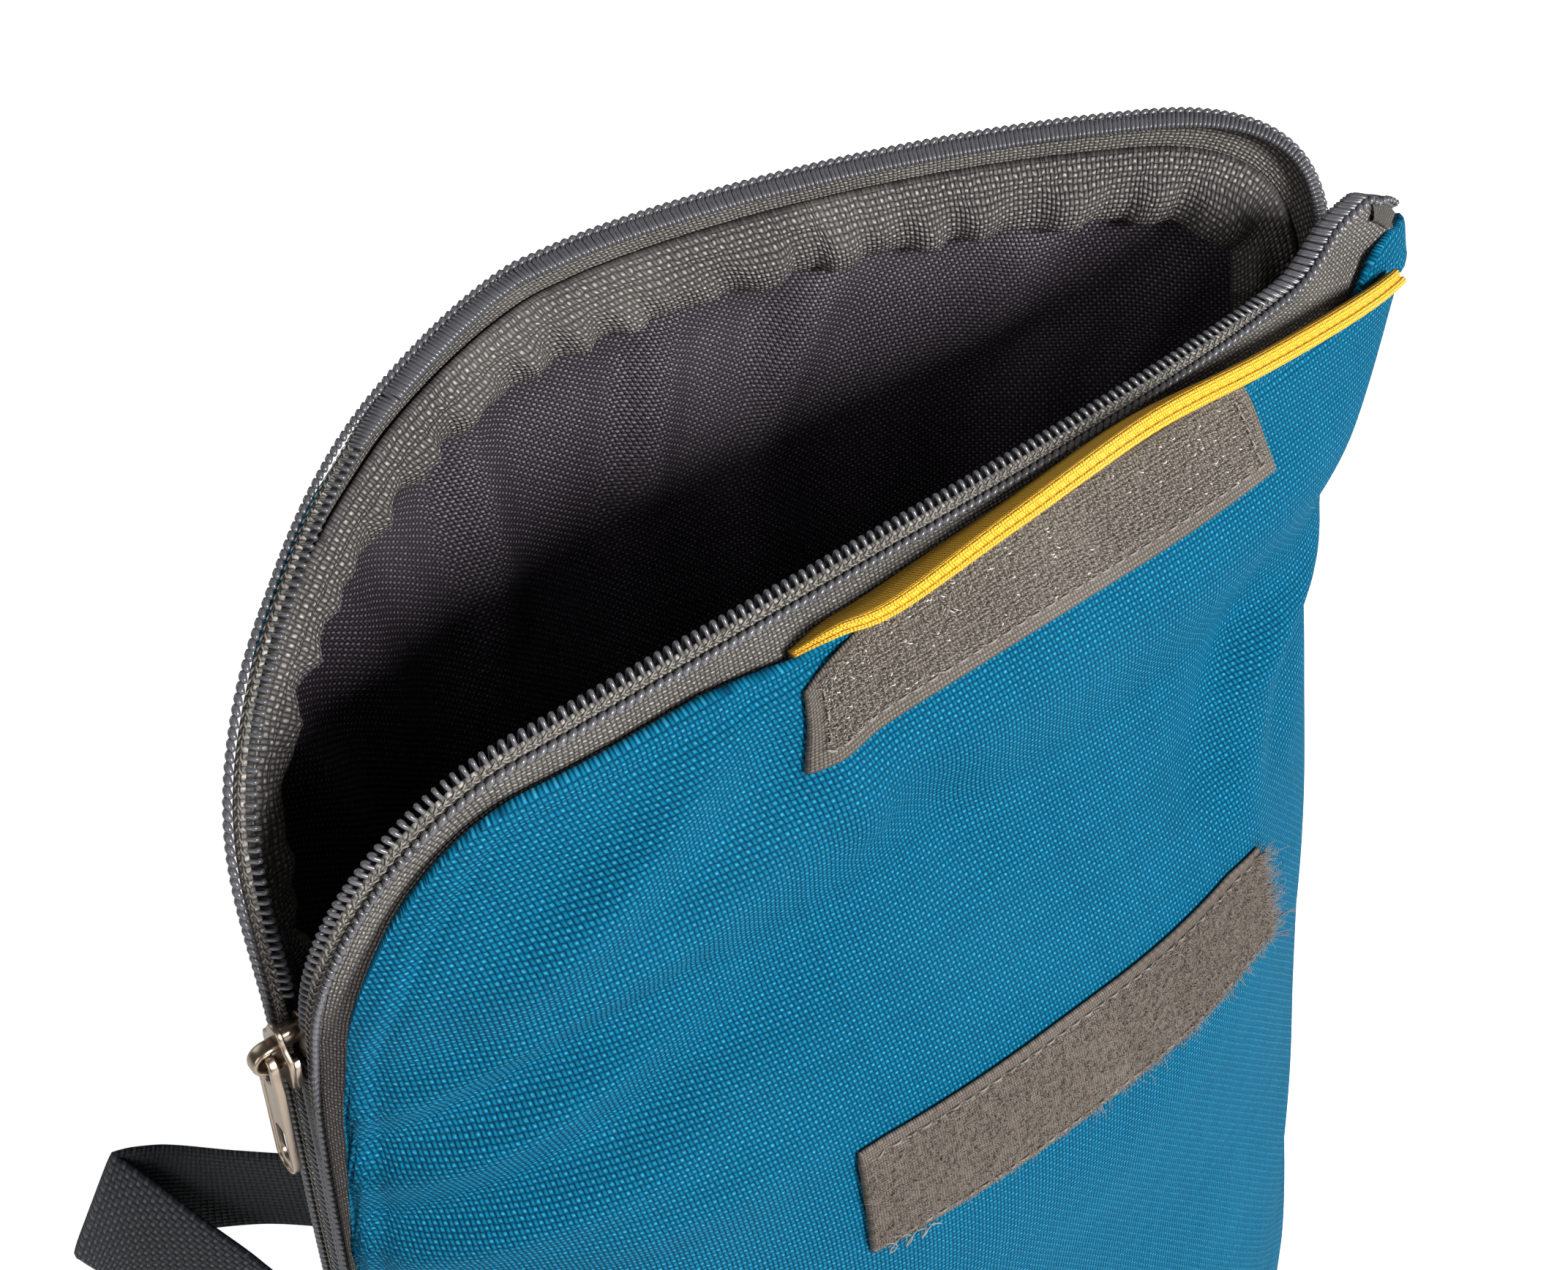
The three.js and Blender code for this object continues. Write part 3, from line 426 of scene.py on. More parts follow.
def halfWall(wall, side, height):  # from the deepest line to a seam: a flat run, then a rounded run
    _, left, right, bulge, apex, leftRun, rightRun, leftPower, rightPower = sectionAt(wall["rows"], height)
    toRight = side > 0
    reach = np.where(toRight, right - apex, left + apex)
    run = np.minimum(np.where(toRight, rightRun, leftRun), reach)
    power = 2 / np.where(toRight, rightPower, leftPower)[:, None]
    turn = np.linspace(0, math.pi / 2, 65)
    across = (reach - run)[:, None] + run[:, None] * np.sin(turn) ** power
    depth = bulge[:, None] * np.cos(turn).clip(0) ** power
    across = np.hstack([np.zeros((len(side), 1)), across])
    depth = np.hstack([bulge[:, None], depth])
    along = np.cumsum(np.hypot(np.diff(across), np.diff(depth)), 1)
    return apex, across, depth, np.hstack([np.zeros((len(side), 1)), along])


def wallLength(wall, side, height):
    side, height = np.broadcast_arrays(np.asarray(side, float), np.asarray(height, float))
    return halfWall(wall, side.ravel(), height.ravel())[3][:, -1].reshape(side.shape)


def smoothPoint(wall, side, height):
    apex, across, depth, along = halfWall(wall, side, height)
    reach = np.minimum(np.abs(side), 1) * along[:, -1]
    far = np.clip((along < reach[:, None]).sum(1), 1, along.shape[1] - 1)
    rows = np.arange(len(side))
    t = (reach - along[rows, far - 1]) / np.maximum(along[rows, far] - along[rows, far - 1], 1e-6)
    between = lambda a: a[rows, far - 1] + (a[rows, far] - a[rows, far - 1]) * t
    return np.stack([apex + np.sign(side) * between(across), wall["facing"] * between(depth), height], 1)


def lengthAlong(points):  # distance along a line at each of its points
    return np.concatenate([[0], np.cumsum(np.linalg.norm(np.diff(points, axis=0), axis=1))])


def unit(vectors):
    return vectors / np.maximum(np.linalg.norm(vectors, axis=-1, keepdims=True), 1e-9)


def wallNormal(wall, side, height):
    step, lift = 0.02, 0.5
    ahead = smoothPoint(wall, np.minimum(side + step, 1), height)
    across = ahead - smoothPoint(wall, np.maximum(side - step, -1), height)
    up = smoothPoint(wall, side, height + lift) - smoothPoint(wall, side, height - lift)
    return unit(np.cross(across, up) * -wall["facing"])


def softStep(value, low, high):
    t = np.clip((value - low) / (high - low), 0, 1)
    return t * t * (3 - 2 * t)


def foldShare(wall, side, height, sewn=26):  # no folds beside the zip, all of them well away from it
    c = wall["corner"]
    wide = np.where(side < 0, c["leftAcross"], c["rightAcross"])
    drop = np.where(side < 0, c["leftDrop"], c["rightDrop"])
    fromSeam = (1 - np.abs(side)) * wallLength(wall, side, height)
    inCorner = np.maximum(1 - (fromSeam / wide) ** (1 / zipSizes["cornerEase"]), 0)
    zipHeight = zipSizes["mouth"] + c["topRise"] - drop * (1 - np.sqrt(np.maximum(1 - inCorner**2, 0)))
    return softStep(np.minimum(zipHeight - height, fromSeam), sewn, 2 * sewn)


def foldLines(folds, side, height, clothHalf=118):  # soft ridges and valleys along lines across a wall
    total = np.zeros(side.shape)
    for fromSide, fromHeight, toSide, toHeight, width, depth in folds:
        dx, dz = (toSide - fromSide) * clothHalf, toHeight - fromHeight
        px, pz = (side - fromSide) * clothHalf, height - fromHeight
        t = (px * dx + pz * dz) / (dx * dx + dz * dz)
        away = (px * dz - pz * dx) / math.hypot(dx, dz)
        total += depth * np.maximum(0, 1 - (2 * t - 1) ** 2) * np.exp(-((away / width) ** 2))
    return total


def wallPoint(wall, side, height, offset=0.0, folds=(), creases=()):
    side, height, offset = np.broadcast_arrays(*(np.asarray(a, float) for a in (side, height, offset)))
    shape = side.shape
    s, h = side.ravel(), height.ravel()
    lift = offset.ravel() + foldLines(creases, s, h)
    if len(folds):
        lift = lift + foldLines(folds, s, h) * foldShare(wall, s, h)
    point = smoothPoint(wall, s, h) + wallNormal(wall, s, h) * lift[:, None]
    point[:, 2] = np.maximum(point[:, 2], 0)
    return point.reshape(*shape, 3)


def zipLine(wall):  # from the left side's foot, round the left corner and along the mouth to its right end
    c = wall["corner"]
    top = zipSizes["mouth"] + c["topRise"]

    def bend(seam, wide, drop):
        turn = np.linspace(0, math.pi / 2, 41)
        ease, part = zipSizes["cornerEase"], 1 - np.cos(turn)
        inX, inZ = drop * np.cos(turn), wide * ease * part ** (ease - 1) * np.sin(turn)
        size = np.hypot(inX, inZ)
        height = top - drop * (1 - np.sin(turn))
        across = wide * part**ease
        side = seam * (1 - across / wallLength(wall, seam, height))
        return np.stack([side, height, -seam * inX / size, -inZ / size, across], 1)

    left = bend(-1, c["leftAcross"], c["leftDrop"])
    right = bend(1, c["rightAcross"], c["rightDrop"])[::-1]
    right = right[right[:, 4] > zipSizes["end"]]
    run = np.linspace(zipSizes["foot"], top - c["leftDrop"], 121)[:-1]
    leftRun = np.stack([run * 0 - 1, run, run * 0 + 1, run * 0, run * 0], 1)
    over = np.linspace(left[-1, 0], right[0, 0], 141)[1:-1]
    topRun = np.stack([over, over * 0 + top, over * 0, over * 0 - 1, over * 0], 1)
    mouth = np.vstack([left, topRun, right])[:, :4]
    mouth[:, 1] += c["tipRise"] * softStep(mouth[:, 0], 0.7, 0.96)
    return {"mouth": mouth, "whole": np.vstack([leftRun[:, :4], mouth])}


def inFromZip(wall, stops, distance):
    side, height, inX, inZ = stops.T
    moved = side + inX * distance / wallLength(wall, side, height)
    return np.clip(moved, -1, 1), height + inZ * distance


for wall in (front, back):
    wall["zip"] = zipLine(wall)


# Mesh helpers
def addPiece(name, points, faces, finish, nodes=(), body="bag", uv=None, smooth=True):
    mesh = bpy.data.meshes.new(name)
    mesh.from_pydata((np.asarray(points) * mm).tolist(), [], [tuple(f) for f in faces])
    if uv is not None:
        layer = mesh.uv_layers.new(name="cloth")
        corner = np.zeros(len(mesh.loops), np.int32)
        mesh.loops.foreach_get("vertex_index", corner)
        layer.data.foreach_set("uv", np.asarray(uv, np.float32)[corner].ravel())
    mesh.polygons.foreach_set("use_smooth", np.full(len(mesh.polygons), smooth))
    mesh.materials.append(finishes[finish])
    mesh.update()
    piece = bpy.data.objects.new(name, mesh)
    bpy.context.scene.collection.objects.link(piece)
    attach(piece, body)
    if nodes:
        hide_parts(*nodes)
    return piece


def gridFaces(rows, cols, start=0, flip=False):
    at = start + np.arange(rows * cols).reshape(rows, cols)
    quads = np.stack([at[:-1, :-1], at[:-1, 1:], at[1:, 1:], at[1:, :-1]], -1).reshape(-1, 4)
    return quads[:, ::-1] if flip else quads


def borderOf(rows, cols):  # indices round the edge of a grid
    at = np.arange(rows * cols).reshape(rows, cols)
    return np.concatenate([at[0, :-1], at[:-1, -1], at[-1, :0:-1], at[:0:-1, 0]])


def shellMesh(outer, inner, uv, roundness=0.45):  # closed sheet between two grids, with a rounded rim
    rows, cols = outer.shape[:2]
    count = rows * cols
    ring = borderOf(rows, cols)
    flatOuter, flatInner = outer.reshape(-1, 3), inner.reshape(-1, 3)
    r, c = np.divmod(ring, cols)
    inward = np.clip(r, 1, rows - 2) * cols + np.clip(c, 1, cols - 2)
    middle = (flatOuter[ring] + flatInner[ring]) / 2
    thick = np.linalg.norm(flatOuter[ring] - flatInner[ring], axis=1, keepdims=True)
    away = unit(middle - (flatOuter[inward] + flatInner[inward]) / 2)
    rim = middle + away * thick * roundness
    points = np.vstack([flatOuter, flatInner, rim])
    start = 2 * count + np.arange(len(ring))
    nextRing, nextStart = np.roll(ring, -1), np.roll(start, -1)
    upper = np.stack([ring, start, nextStart, nextRing], 1)
    lower = np.stack([start, ring + count, nextRing + count, nextStart], 1)
    faces = np.vstack([gridFaces(rows, cols), gridFaces(rows, cols, count, True), upper, lower])
    flatUv = uv.reshape(-1, 2)
    if np.einsum("ij,ij->", points[faces[:, 0]], np.cross(points[faces[:, 1]], points[faces[:, 2]])) < 0:
        faces = faces[:, ::-1]
    return points, faces, np.vstack([flatUv, flatUv, flatUv[ring]])


def addShell(name, outer, inner, uv, finish, slot, nodes):
    points, faces, places = shellMesh(outer, inner, uv)
    return addPiece(name, points, faces, finish, nodes, uv=places)


def tubeFaces(count, steps, sides):  # rings of points joined into closed tubes
    at = np.arange(count * steps * sides).reshape(count, steps, sides)
    turned = np.roll(at, -1, 2)
    quads = np.stack([at[:, :-1], turned[:, :-1], turned[:, 1:], at[:, 1:]], -1).reshape(-1, 4)
    return quads.tolist() + np.vstack([at[:, 0, ::-1], at[:, -1]]).tolist()


def tubeMesh(paths, radius, sides=6, across=None):  # closed tubes along many paths of equal point counts
    paths = np.asarray(paths, float)
    count, steps = paths.shape[:2]
    radius = np.broadcast_to(np.asarray(radius, float), (count, steps))
    way = unit(np.gradient(paths, axis=1))
    if across is None:
        across = np.where(np.abs(way[:, :, 2:3]) > 0.9, (1.0, 0.0, 0.0), (0.0, 0.0, 1.0))
    first = unit(np.cross(way, across))
    second = np.cross(first, way)
    turn = np.arange(sides) * 2 * math.pi / sides
    circle = first[:, :, None] * np.cos(turn)[:, None] + second[:, :, None] * np.sin(turn)[:, None]
    points = (paths[:, :, None] + circle * radius[:, :, None, None]).reshape(-1, 3)
    return points, tubeFaces(count, steps, sides)


def addTubes(name, paths, radius, finish, sides=6, across=None, nodes=(), body="bag"):
    points, faces = tubeMesh(paths, radius, sides, across)
    return addPiece(name, points, faces, finish, nodes, body)


def alongPath(points, spacing):  # places at even distances along a line of points, as fractional indices
    far = lengthAlong(points)
    count = max(int(far[-1] / spacing), 1)
    return np.interp(np.linspace(0, far[-1], count + 1), far, np.arange(len(points)))


def atIndex(values, index):
    low = np.clip(index.astype(int), 0, len(values) - 2)
    t = (index - low)[..., None]
    return values[low] * (1 - t) + values[low + 1] * t


def stitchPaths(line, normal, long, gap, lift, lean=0.0):  # short threads along a line, ends in the cloth
    index = alongPath(line, long + gap)
    middle = atIndex(line, index[:-1] + 0.5 * np.diff(index))
    way = unit(atIndex(line, index[1:]) - atIndex(line, index[:-1]))
    up = unit(atIndex(normal, index[:-1]))
    acrossWay = np.cross(up, way)
    way = way * math.cos(lean) + acrossWay * math.sin(lean)
    t = np.linspace(-1, 1, 6)
    arch = lift * (1 - t**2) - 0.25 * lift
    return middle[:, None] + way[:, None] * (t * long / 2)[:, None] + up[:, None] * arch[:, None]


def addStitches(name, line, normal, finish, long, gap, lift, radius, lean=0.0, sides=6):
    paths = stitchPaths(line, normal, long, gap, lift, lean)
    return addTubes(name, paths, np.array([0.5, 0.9, 1, 1, 0.9, 0.5]) * radius, finish, sides)


# Outer cloth
panelLook = {
    "cols": 136, "rows": 166, "seam": 0.2, "edgeRise": 0.5, "stitchDip": 0.45, "backEdge": 12,
    "tip": np.array([  # side, height of the cloth's edge beside the right end of the zip
        [0.72, 289], [0.79, 289.8], [0.82, 292], [0.87, 294.3],
        [0.9, 294.7], [0.93, 294.9], [0.97, 293.6], [1, 292],
    ]),
    "folds": [  # fromSide, fromHeight, toSide, toHeight, width, depth
        [0.72, 258, 0.24, 222, 9, -4.5],
        [0.66, 246, 0.34, 205, 10, 3],
        [-0.74, 246, -0.28, 282, 7, 3.2],
        [-0.8, 226, -0.3, 246, 8, -3],
        [-0.85, 205, -0.35, 214, 7, 2.6],
        [-0.85, 186, -0.48, 178, 8, -2.6],
        [0.95, 120, 0.5, 60, 12, -3],
    ],
    "creases": [
        [-0.8, 258, -0.36, 289, 5, 3.2],
        [-0.72, 252, -0.28, 282, 6, -2.5],
        [-0.98, 242, -0.52, 263, 3.5, 2.5],
        [-0.98, 235, -0.48, 254, 3.5, -2.3],
        [-0.98, 228, -0.46, 244, 3.5, 2.5],
        [-0.98, 219, -0.5, 232, 3.5, -2.2],
        [-0.98, 211, -0.5, 222, 3.5, 2.0],
        [-0.98, 200, -0.5, 207, 4, -1.8],
        [-0.34, 290, -0.24, 258, 6, 2.5],
        [-0.2, 270, -0.1, 235, 8, -2.2],
        [0.9, 246, 0.36, 232, 5, 2.9],
        [0.9, 236, 0.4, 214, 6, -2.5],
    ],
}


edgeWidening = np.array([  # side, extra tape shown
    [-0.42, 0], [-0.29, 2], [-0.15, 1.7], [0.05, 0.4], [0.3, 0], [0.52, 1.2], [0.72, 3],
])


def clothEdge(wall, edge, extra=0.0):
    stops = wall["zip"]["mouth"]
    more = extra * np.maximum(stops[:, 2], 0) - np.interp(stops[:, 0], *edgeWidening.T) * stops[:, 3]
    return inFromZip(wall, stops, edge + more)


def acrossCloth(wall, part, height, edge, seam):
    left = -1 + edge / wallLength(wall, -1, height)
    right = 1 - seam / wallLength(wall, 1, height)
    return left + (right - left) * part


def clothGrid(wall, edge, seam, foot, cols, rows, extra=0.0, tip=None):
    side, height = clothEdge(wall, edge, extra)
    edge = edge + extra
    start, stop = acrossCloth(wall, 0, height, edge, seam), acrossCloth(wall, 1, height, edge, seam)
    place = np.maximum.accumulate((side - start) / (stop - start))
    part = np.linspace(0, 1, cols) ** 1.2  # columns and rows lie closer towards the zip
    top = np.interp(part, place, height)
    if tip is not None:
        over = acrossCloth(wall, part, top, edge, seam)
        top = np.where(over > tip[0, 0], np.interp(over, *tip.T), top)
    up = np.linspace(0, 1, rows)[:, None]
    heights = foot + (top - foot) * (1 - (1 - up) ** 1.4)
    return acrossCloth(wall, part[None, :], heights, edge, seam), heights


def clothUv(wall, side, height):
    return np.stack([side * wallLength(wall, side, height), height], -1)


def zipAway(wall, side, height):  # distance along the cloth from the zip line
    stops = wall["zip"]["whole"]
    line = clothUv(wall, stops[:, 0], stops[:, 1])
    index = alongPath(line, 0.8)
    tree = KDTree(len(index))
    for k, (u, v) in enumerate(atIndex(line, index)):
        tree.insert((u, v, 0), k)
    tree.balance()
    places = clothUv(wall, side, height)
    return np.array([tree.find((u, v, 0))[2] for u, v in places.reshape(-1, 2)]).reshape(side.shape)


def makePanel(name, wall, node, folds, creases, extra, tip=None):
    look, shown = panelLook, zipSizes["tapeShown"]
    side, height = clothGrid(wall, shown, look["seam"], 0, look["cols"], look["rows"], extra, tip)
    away = zipAway(wall, side, height) - shown
    turned = look["edgeRise"] * np.exp(-(((away - 1.2) / 1.4) ** 2))
    turned -= look["stitchDip"] * np.exp(-(((away - 3.6) / 0.9) ** 2))
    flush = (1 - softStep((1 + side) * wallLength(wall, side, height), extra + 10, extra + 40)) * (extra > 0)
    outer = wallPoint(wall, side, height, layers["panelOuter"] + turned - 2.1 * flush, folds, creases)
    inner = wallPoint(wall, side, height, layers["panelInner"] - 1.0 * flush, folds, creases)
    return addShell(name, outer, inner, clothUv(wall, side, height), "blueCloth", "cloth_blue", [node])


makePanel("frontCloth", front, "front_panel", panelLook["folds"], panelLook["creases"], 0, panelLook["tip"])
makePanel("backCloth", back, "back_panel", [], [], panelLook["backEdge"])


def plateGrid(offset, rings):  # rings of points from the middle of the base out to the walls
    side = np.linspace(-1, 1, 61)[:-1]
    edge = np.vstack([wallPoint(front, side, side * 0, offset), wallPoint(back, -side, side * 0, offset)])
    share = np.linspace(0.02, 1, rings)[:, None, None]
    return np.concatenate([edge[None] * share, (edge[None] * share)[:, :1]], 1)


def makePlate(name, low, high, offset, finish, slot, node):
    grid = plateGrid(offset, 14)
    upper, lower = grid.copy(), grid.copy()
    upper[:, :, 2], lower[:, :, 2] = high, low
    return addShell(name, upper, lower, grid[:, :, :2], finish, slot, [node])


makePlate("baseCloth", 0, 2, 0.8, "blueCloth", "cloth_blue", "base_panel")
print("outer cloth made")

# Lining, gathered a little by the binding
liningLook = {
    "cols": 108, "rows": 116, "edge": 9.5, "seam": 2.5, "foot": 2.3, "thick": 1, "inset": 5,
    "sinkFront": 4.5, "sinkBack": 4, "sewn": 26, "gathered": 13,
    "folds": [
        [-0.35, 285, -0.28, 190, 9, -3],
        [-0.12, 285, -0.1, 215, 8, 2.2],
        [0.12, 285, 0.2, 200, 8, -2.6],
        [0.55, 285, 0.45, 200, 10, 2.2],
        [0.8, 250, 0.55, 150, 12, -3],
        [-0.8, 250, -0.5, 150, 12, -2.5],
    ],
    "gathers": [
        [0.13, 294, -0.06, 250, 4.5, -3.6],
        [0.07, 292, -0.12, 246, 4, 2.4],
        [0.36, 294, 0.16, 256, 4.5, -3.2],
        [0.27, 292, 0.1, 250, 4, 2.2],
        [-0.2, 296, -0.3, 240, 5, -3.2],
        [-0.28, 292, -0.36, 240, 5, 2.4],
        [-0.5, 292, -0.5, 232, 6, -2.8],
        [0.62, 296, 0.48, 258, 5, -2.8],
        [-0.72, 284, -0.62, 226, 6, -3.2],
        [0.82, 290, 0.72, 246, 5, -2.6],
    ],
}


def makeLining(name, wall, node, folds, gathers, sink):
    look = liningLook
    side, height = clothGrid(wall, look["edge"], look["seam"], look["foot"], look["cols"], look["rows"])
    loose = lambda sewn: foldShare(wall, side.ravel(), height.ravel(), sewn).reshape(side.shape)
    deep = sink * loose(look["sewn"]) - foldLines(gathers, side, height) * loose(look["gathered"])
    outer = wallPoint(wall, side, height, layers["liningOuter"] - deep, folds)
    inner = wallPoint(wall, side, height, layers["liningInner"] - deep, folds)
    return addShell(name, outer, inner, clothUv(wall, side, height), "lining", "lining_grey", [node])


makeLining("liningFront", front, "lining_front", [], [], liningLook["sinkFront"])
makeLining("liningBack", back, "lining_back", liningLook["folds"], liningLook["gathers"],
           liningLook["sinkBack"])
makePlate("liningFloor", liningLook["foot"], liningLook["foot"] + liningLook["thick"],
          layers["liningInner"] - liningLook["inset"], "lining", "lining_grey", "lining_base")
print("lining made")

# Zip: tapes, seam binding, coils with their sewing line
zipLook = {
    "tapeNear": 2.2, "tapeCols": 18, "tapeFar": {"Front": 13, "Back": 22},
    "pitch": 1.5, "wire": 0.35, "coilMiddle": 2.1, "coilHalf": 1.45, "coilHigh": 0.5, "coilSet": -0.6,
    "coilOut": 1.15, "coilSteps": 14, "chainAway": 2.75, "chainLong": 1.15, "chainRadius": 0.16,
    "ropeAway": 4.0, "ropeLong": 1.9, "ropeRadius": 0.56, "curlBack": 50, "curlTip": 55, "curlFrom": 3.4,
    "rollFront": (0.5, 0.85), "rollBack": (-0.6, -0.2),  # sides between which the rolling edge sets in
    "tipPush": 2.2, "tipNarrow": 0.62, "closedShift": -0.75,
}


def stripGrid(wall, stops, near, far, cols, offset):
    distance = np.linspace(near, far, cols)
    places = [inFromZip(wall, stops, d) for d in distance]
    side = np.stack([p[0] for p in places], 1)
    height = np.stack([p[1] for p in places], 1)
    return wallPoint(wall, side, height, offset), distance


def stripUv(points, distance):
    far = lengthAlong(points[:, points.shape[1] // 2])
    return np.stack(np.broadcast_arrays(far[:, None], distance[None, :]), -1)


def curlShare(wall, stops):  # the back's edge rolls in all along the mouth, the front's towards its right end
    if wall is front:
        return softStep(stops[:, 0], *zipLook["rollFront"])
    left = wall["corner"]["leftDrop"]
    return softStep(stops[:, 1], zipSizes["mouth"] - left, zipSizes["mouth"] - 0.6 * left)


def coilOver(wall, stops):  # where the coil shows its outer side on the roll
    return softStep(stops[:, 0], *zipLook["rollFront" if wall is front else "rollBack"])


def tipPush(wall, stops):  # the front's right end stands out, level with the cloth beside it
    return zipLook["tipPush"] * softStep(stops[:, 0], 0.85, 0.99) * (wall is front)


def zipFrames(wall, stops):  # middle of the zip's edge, the ways into the cloth and out of the bag, rolled in
    at = wallPoint(wall, *inFromZip(wall, stops, 0.05))
    inward = unit(wallPoint(wall, *inFromZip(wall, stops, zipLook["curlFrom"])) - at)
    outward = wallNormal(wall, stops[:, 0], stops[:, 1])
    curl = np.radians(zipLook["curlTip"]) * curlShare(wall, stops)[:, None]
    if wall is back:
        roll = np.radians(zipLook["curlBack"]) * curlShare(wall, stops)[:, None]
        curl = roll + curl * coilOver(wall, stops)[:, None]
    turnedIn = inward * np.cos(curl) + outward * np.sin(curl)
    turnedOut = outward * np.cos(curl) - inward * np.sin(curl)
    at = at + outward * tipPush(wall, stops)[:, None]
    return at + (inward - turnedIn) * zipLook["curlFrom"], turnedIn, turnedOut


def edgeLine(frames, distance, offset):
    at, inward, outward = frames
    return at + inward * distance + outward * offset


def makeTape(name, wall, node, far):
    stops, frames = wall["zip"]["whole"], wall["zip"]["frames"]
    bend = zipLook["curlFrom"]
    rolled = np.linspace(zipLook["tapeNear"], bend - 0.4, 4)
    flat = np.linspace(bend + 0.4, far, zipLook["tapeCols"] - len(rolled))
    narrow = 1 - zipLook["tipNarrow"] * softStep(stops[:, 0], 0.92, 0.98) * (wall is front)
    sheets = []
    for offset in (layers["tapeHalf"], -layers["tapeHalf"]):
        lines = [edgeLine(frames, d, offset) for d in rolled]
        for d in flat:
            place = inFromZip(wall, stops, bend + (d - bend) * narrow)
            lines.append(wallPoint(wall, *place, offset + tipPush(wall, stops)))
        sheets.append(np.stack(lines, 1))
    distance = np.concatenate([rolled, flat])
    return addShell(name, *sheets, stripUv(sheets[0], distance), "zipTape", "tape_grey", [node])


bindingLook = {
    "width": 10.5, "cols": 18, "seam": 0.3, "puff": 1.3, "pucker": 1.1, "sag": 5,
    "waves": 10, "waveLong": (7, 20), "touch": -0.75, "stitch": 2.9,
}


# Flat along its seam, then puffed and puckered, hanging at the right end
def makeBinding(name, wall, node, seat, seed):
    look, near = bindingLook, zipSizes["tapeShown"]
    stops = wall["zip"]["whole"]
    rng = np.random.default_rng(seed)
    across = np.linspace(0, 1, look["cols"])[None, :]
    middle, _ = stripGrid(wall, stops, near, near + look["width"], 3, seat)
    far = lengthAlong(middle[:, 1])[:, None]
    loose = softStep(across, look["seam"] - 0.1, look["seam"] + 0.25)
    pucker = np.zeros((len(stops), look["cols"]))
    for _ in range(look["waves"]):
        long, phase, lean = rng.uniform(*look["waveLong"]), rng.uniform(0, 6.28), rng.uniform(-2.5, 2.5)
        pucker += np.sin(far * 6.28 / long + phase + lean * across)
    puff = np.sin(math.pi * np.clip((across - look["seam"]) / (1 - look["seam"]), 0, 1)) ** 0.8
    end = softStep(stops[:, 0], 0.72, 0.9)[:, None] * (1 if wall is back else 0)
    sag = look["sag"] * end * loose * (0.6 + 0.5 * np.sin(far / 3.1 + 2 * across))
    lift = loose * (look["pucker"] * np.clip(pucker / 2.2, -1.2, 0.9) - 0.7) - look["puff"] * puff - sag
    sewing = np.exp(-(((across - look["seam"] * 0.5) / 0.08) ** 2))
    lift -= 0.35 * sewing * np.sin(far * 6.28 / look["stitch"])
    lift = seat + np.minimum(lift, 0.15) + (look["touch"] - seat) * (1 - softStep(across, 0, 0.24))
    sheets = []
    for thick in (0, -layers["bindingThick"]):
        grid, distance = stripGrid(wall, stops, near, near + look["width"], look["cols"], lift + thick)
        sheets.append(grid)
    return addShell(name, *sheets, stripUv(sheets[0], distance), "binding", "binding_grey", [node])


def coilPath(at, inward, outward, look, phase, shift, over):
    index = alongPath(at, look["pitch"])
    turns = len(index) - 1
    turn = np.arange(turns * look["coilSteps"] + 1) / look["coilSteps"]
    loop = 2 * math.pi * turn
    place = np.interp(np.clip(turn + phase - 0.16 * np.sin(loop), 0, turns), np.arange(turns + 1), index)
    across = look["coilMiddle"] + shift - look["coilHalf"] * np.cos(loop)
    lift = look["coilSet"] + look["coilHigh"] * np.sin(loop)
    path = atIndex(at, place) + atIndex(inward, place) * across[:, None]
    path = path + atIndex(outward, place) * lift[:, None]
    fat = np.interp(place, np.arange(len(at)), over * np.ones(len(at)))
    head, top = np.maximum(np.cos(loop), 0) ** 4, np.maximum(np.sin(loop), 0)
    radius = look["wire"] * (1 + 0.1 * head + 0.15 * fat * top)
    along = unit(np.gradient(atIndex(at, place), axis=0))
    return path, radius, along


def makeCoil(name, at, inward, outward, node, phase=0.0, shift=0.0, over=0.0):
    path, radius, along = coilPath(at, inward, outward, zipLook, phase, shift, over)
    return addTubes(name, path[None], radius[None], "coilNylon", 6, along[None], node)


def makeSewing(label, frames):  # the twisted cord that holds the coil, and the chain of thread on the tape
    pitch, long, link = zipLook["pitch"], zipLook["ropeLong"], zipLook["chainLong"]
    line = edgeLine(frames, zipLook["ropeAway"], layers["tapeHalf"] + 0.35)
    addStitches("coilCord" + label, line, frames[2], "coilNylon", long, pitch - long, 0.3,
                zipLook["ropeRadius"], 0.5)
    for row, lean in ((-0.28, 0.6), (0.28, -0.6)):
        line = edgeLine(frames, zipLook["chainAway"] + row, layers["tapeHalf"] + 0.05)
        name = "edgeChain" + label + ("A" if row < 0 else "B")
        addStitches(name, line, frames[2], "greyThread", link, pitch - link, 0.12,
                    zipLook["chainRadius"], lean, 4)


for label, wall, seed in (("Front", front, 3), ("Back", back, 4)):
    key = label.lower()
    wall["zip"]["frames"] = zipFrames(wall, wall["zip"]["whole"])
    makeTape("zipTape" + label, wall, "zip_tape_" + key, zipLook["tapeFar"][label])
    makeBinding("seamBinding" + label, wall, "seam_binding_" + key, layers["binding" + label], seed)
    stops = wall["zip"]["mouth"]
    start = zipSizes["sliderHeight"] + zipSizes["sliderLong"] / 2
    shown = stops[(stops[:, 0] > 0) | (stops[:, 1] > start)]
    at, inward, outward = zipFrames(wall, shown)
    over = coilOver(wall, shown)
    at = at + outward * zipLook["coilOut"] * over[:, None]
    makeCoil("zipCoil" + label, at, inward, outward, ["zip_coil_" + key], over=over)
    roll = over > 0.4
    makeCoil("zipCoilTurned" + label, at[roll], inward[roll], outward[roll], [], 0.5, over=over[roll])
    makeSewing(label, wall["zip"]["frames"])


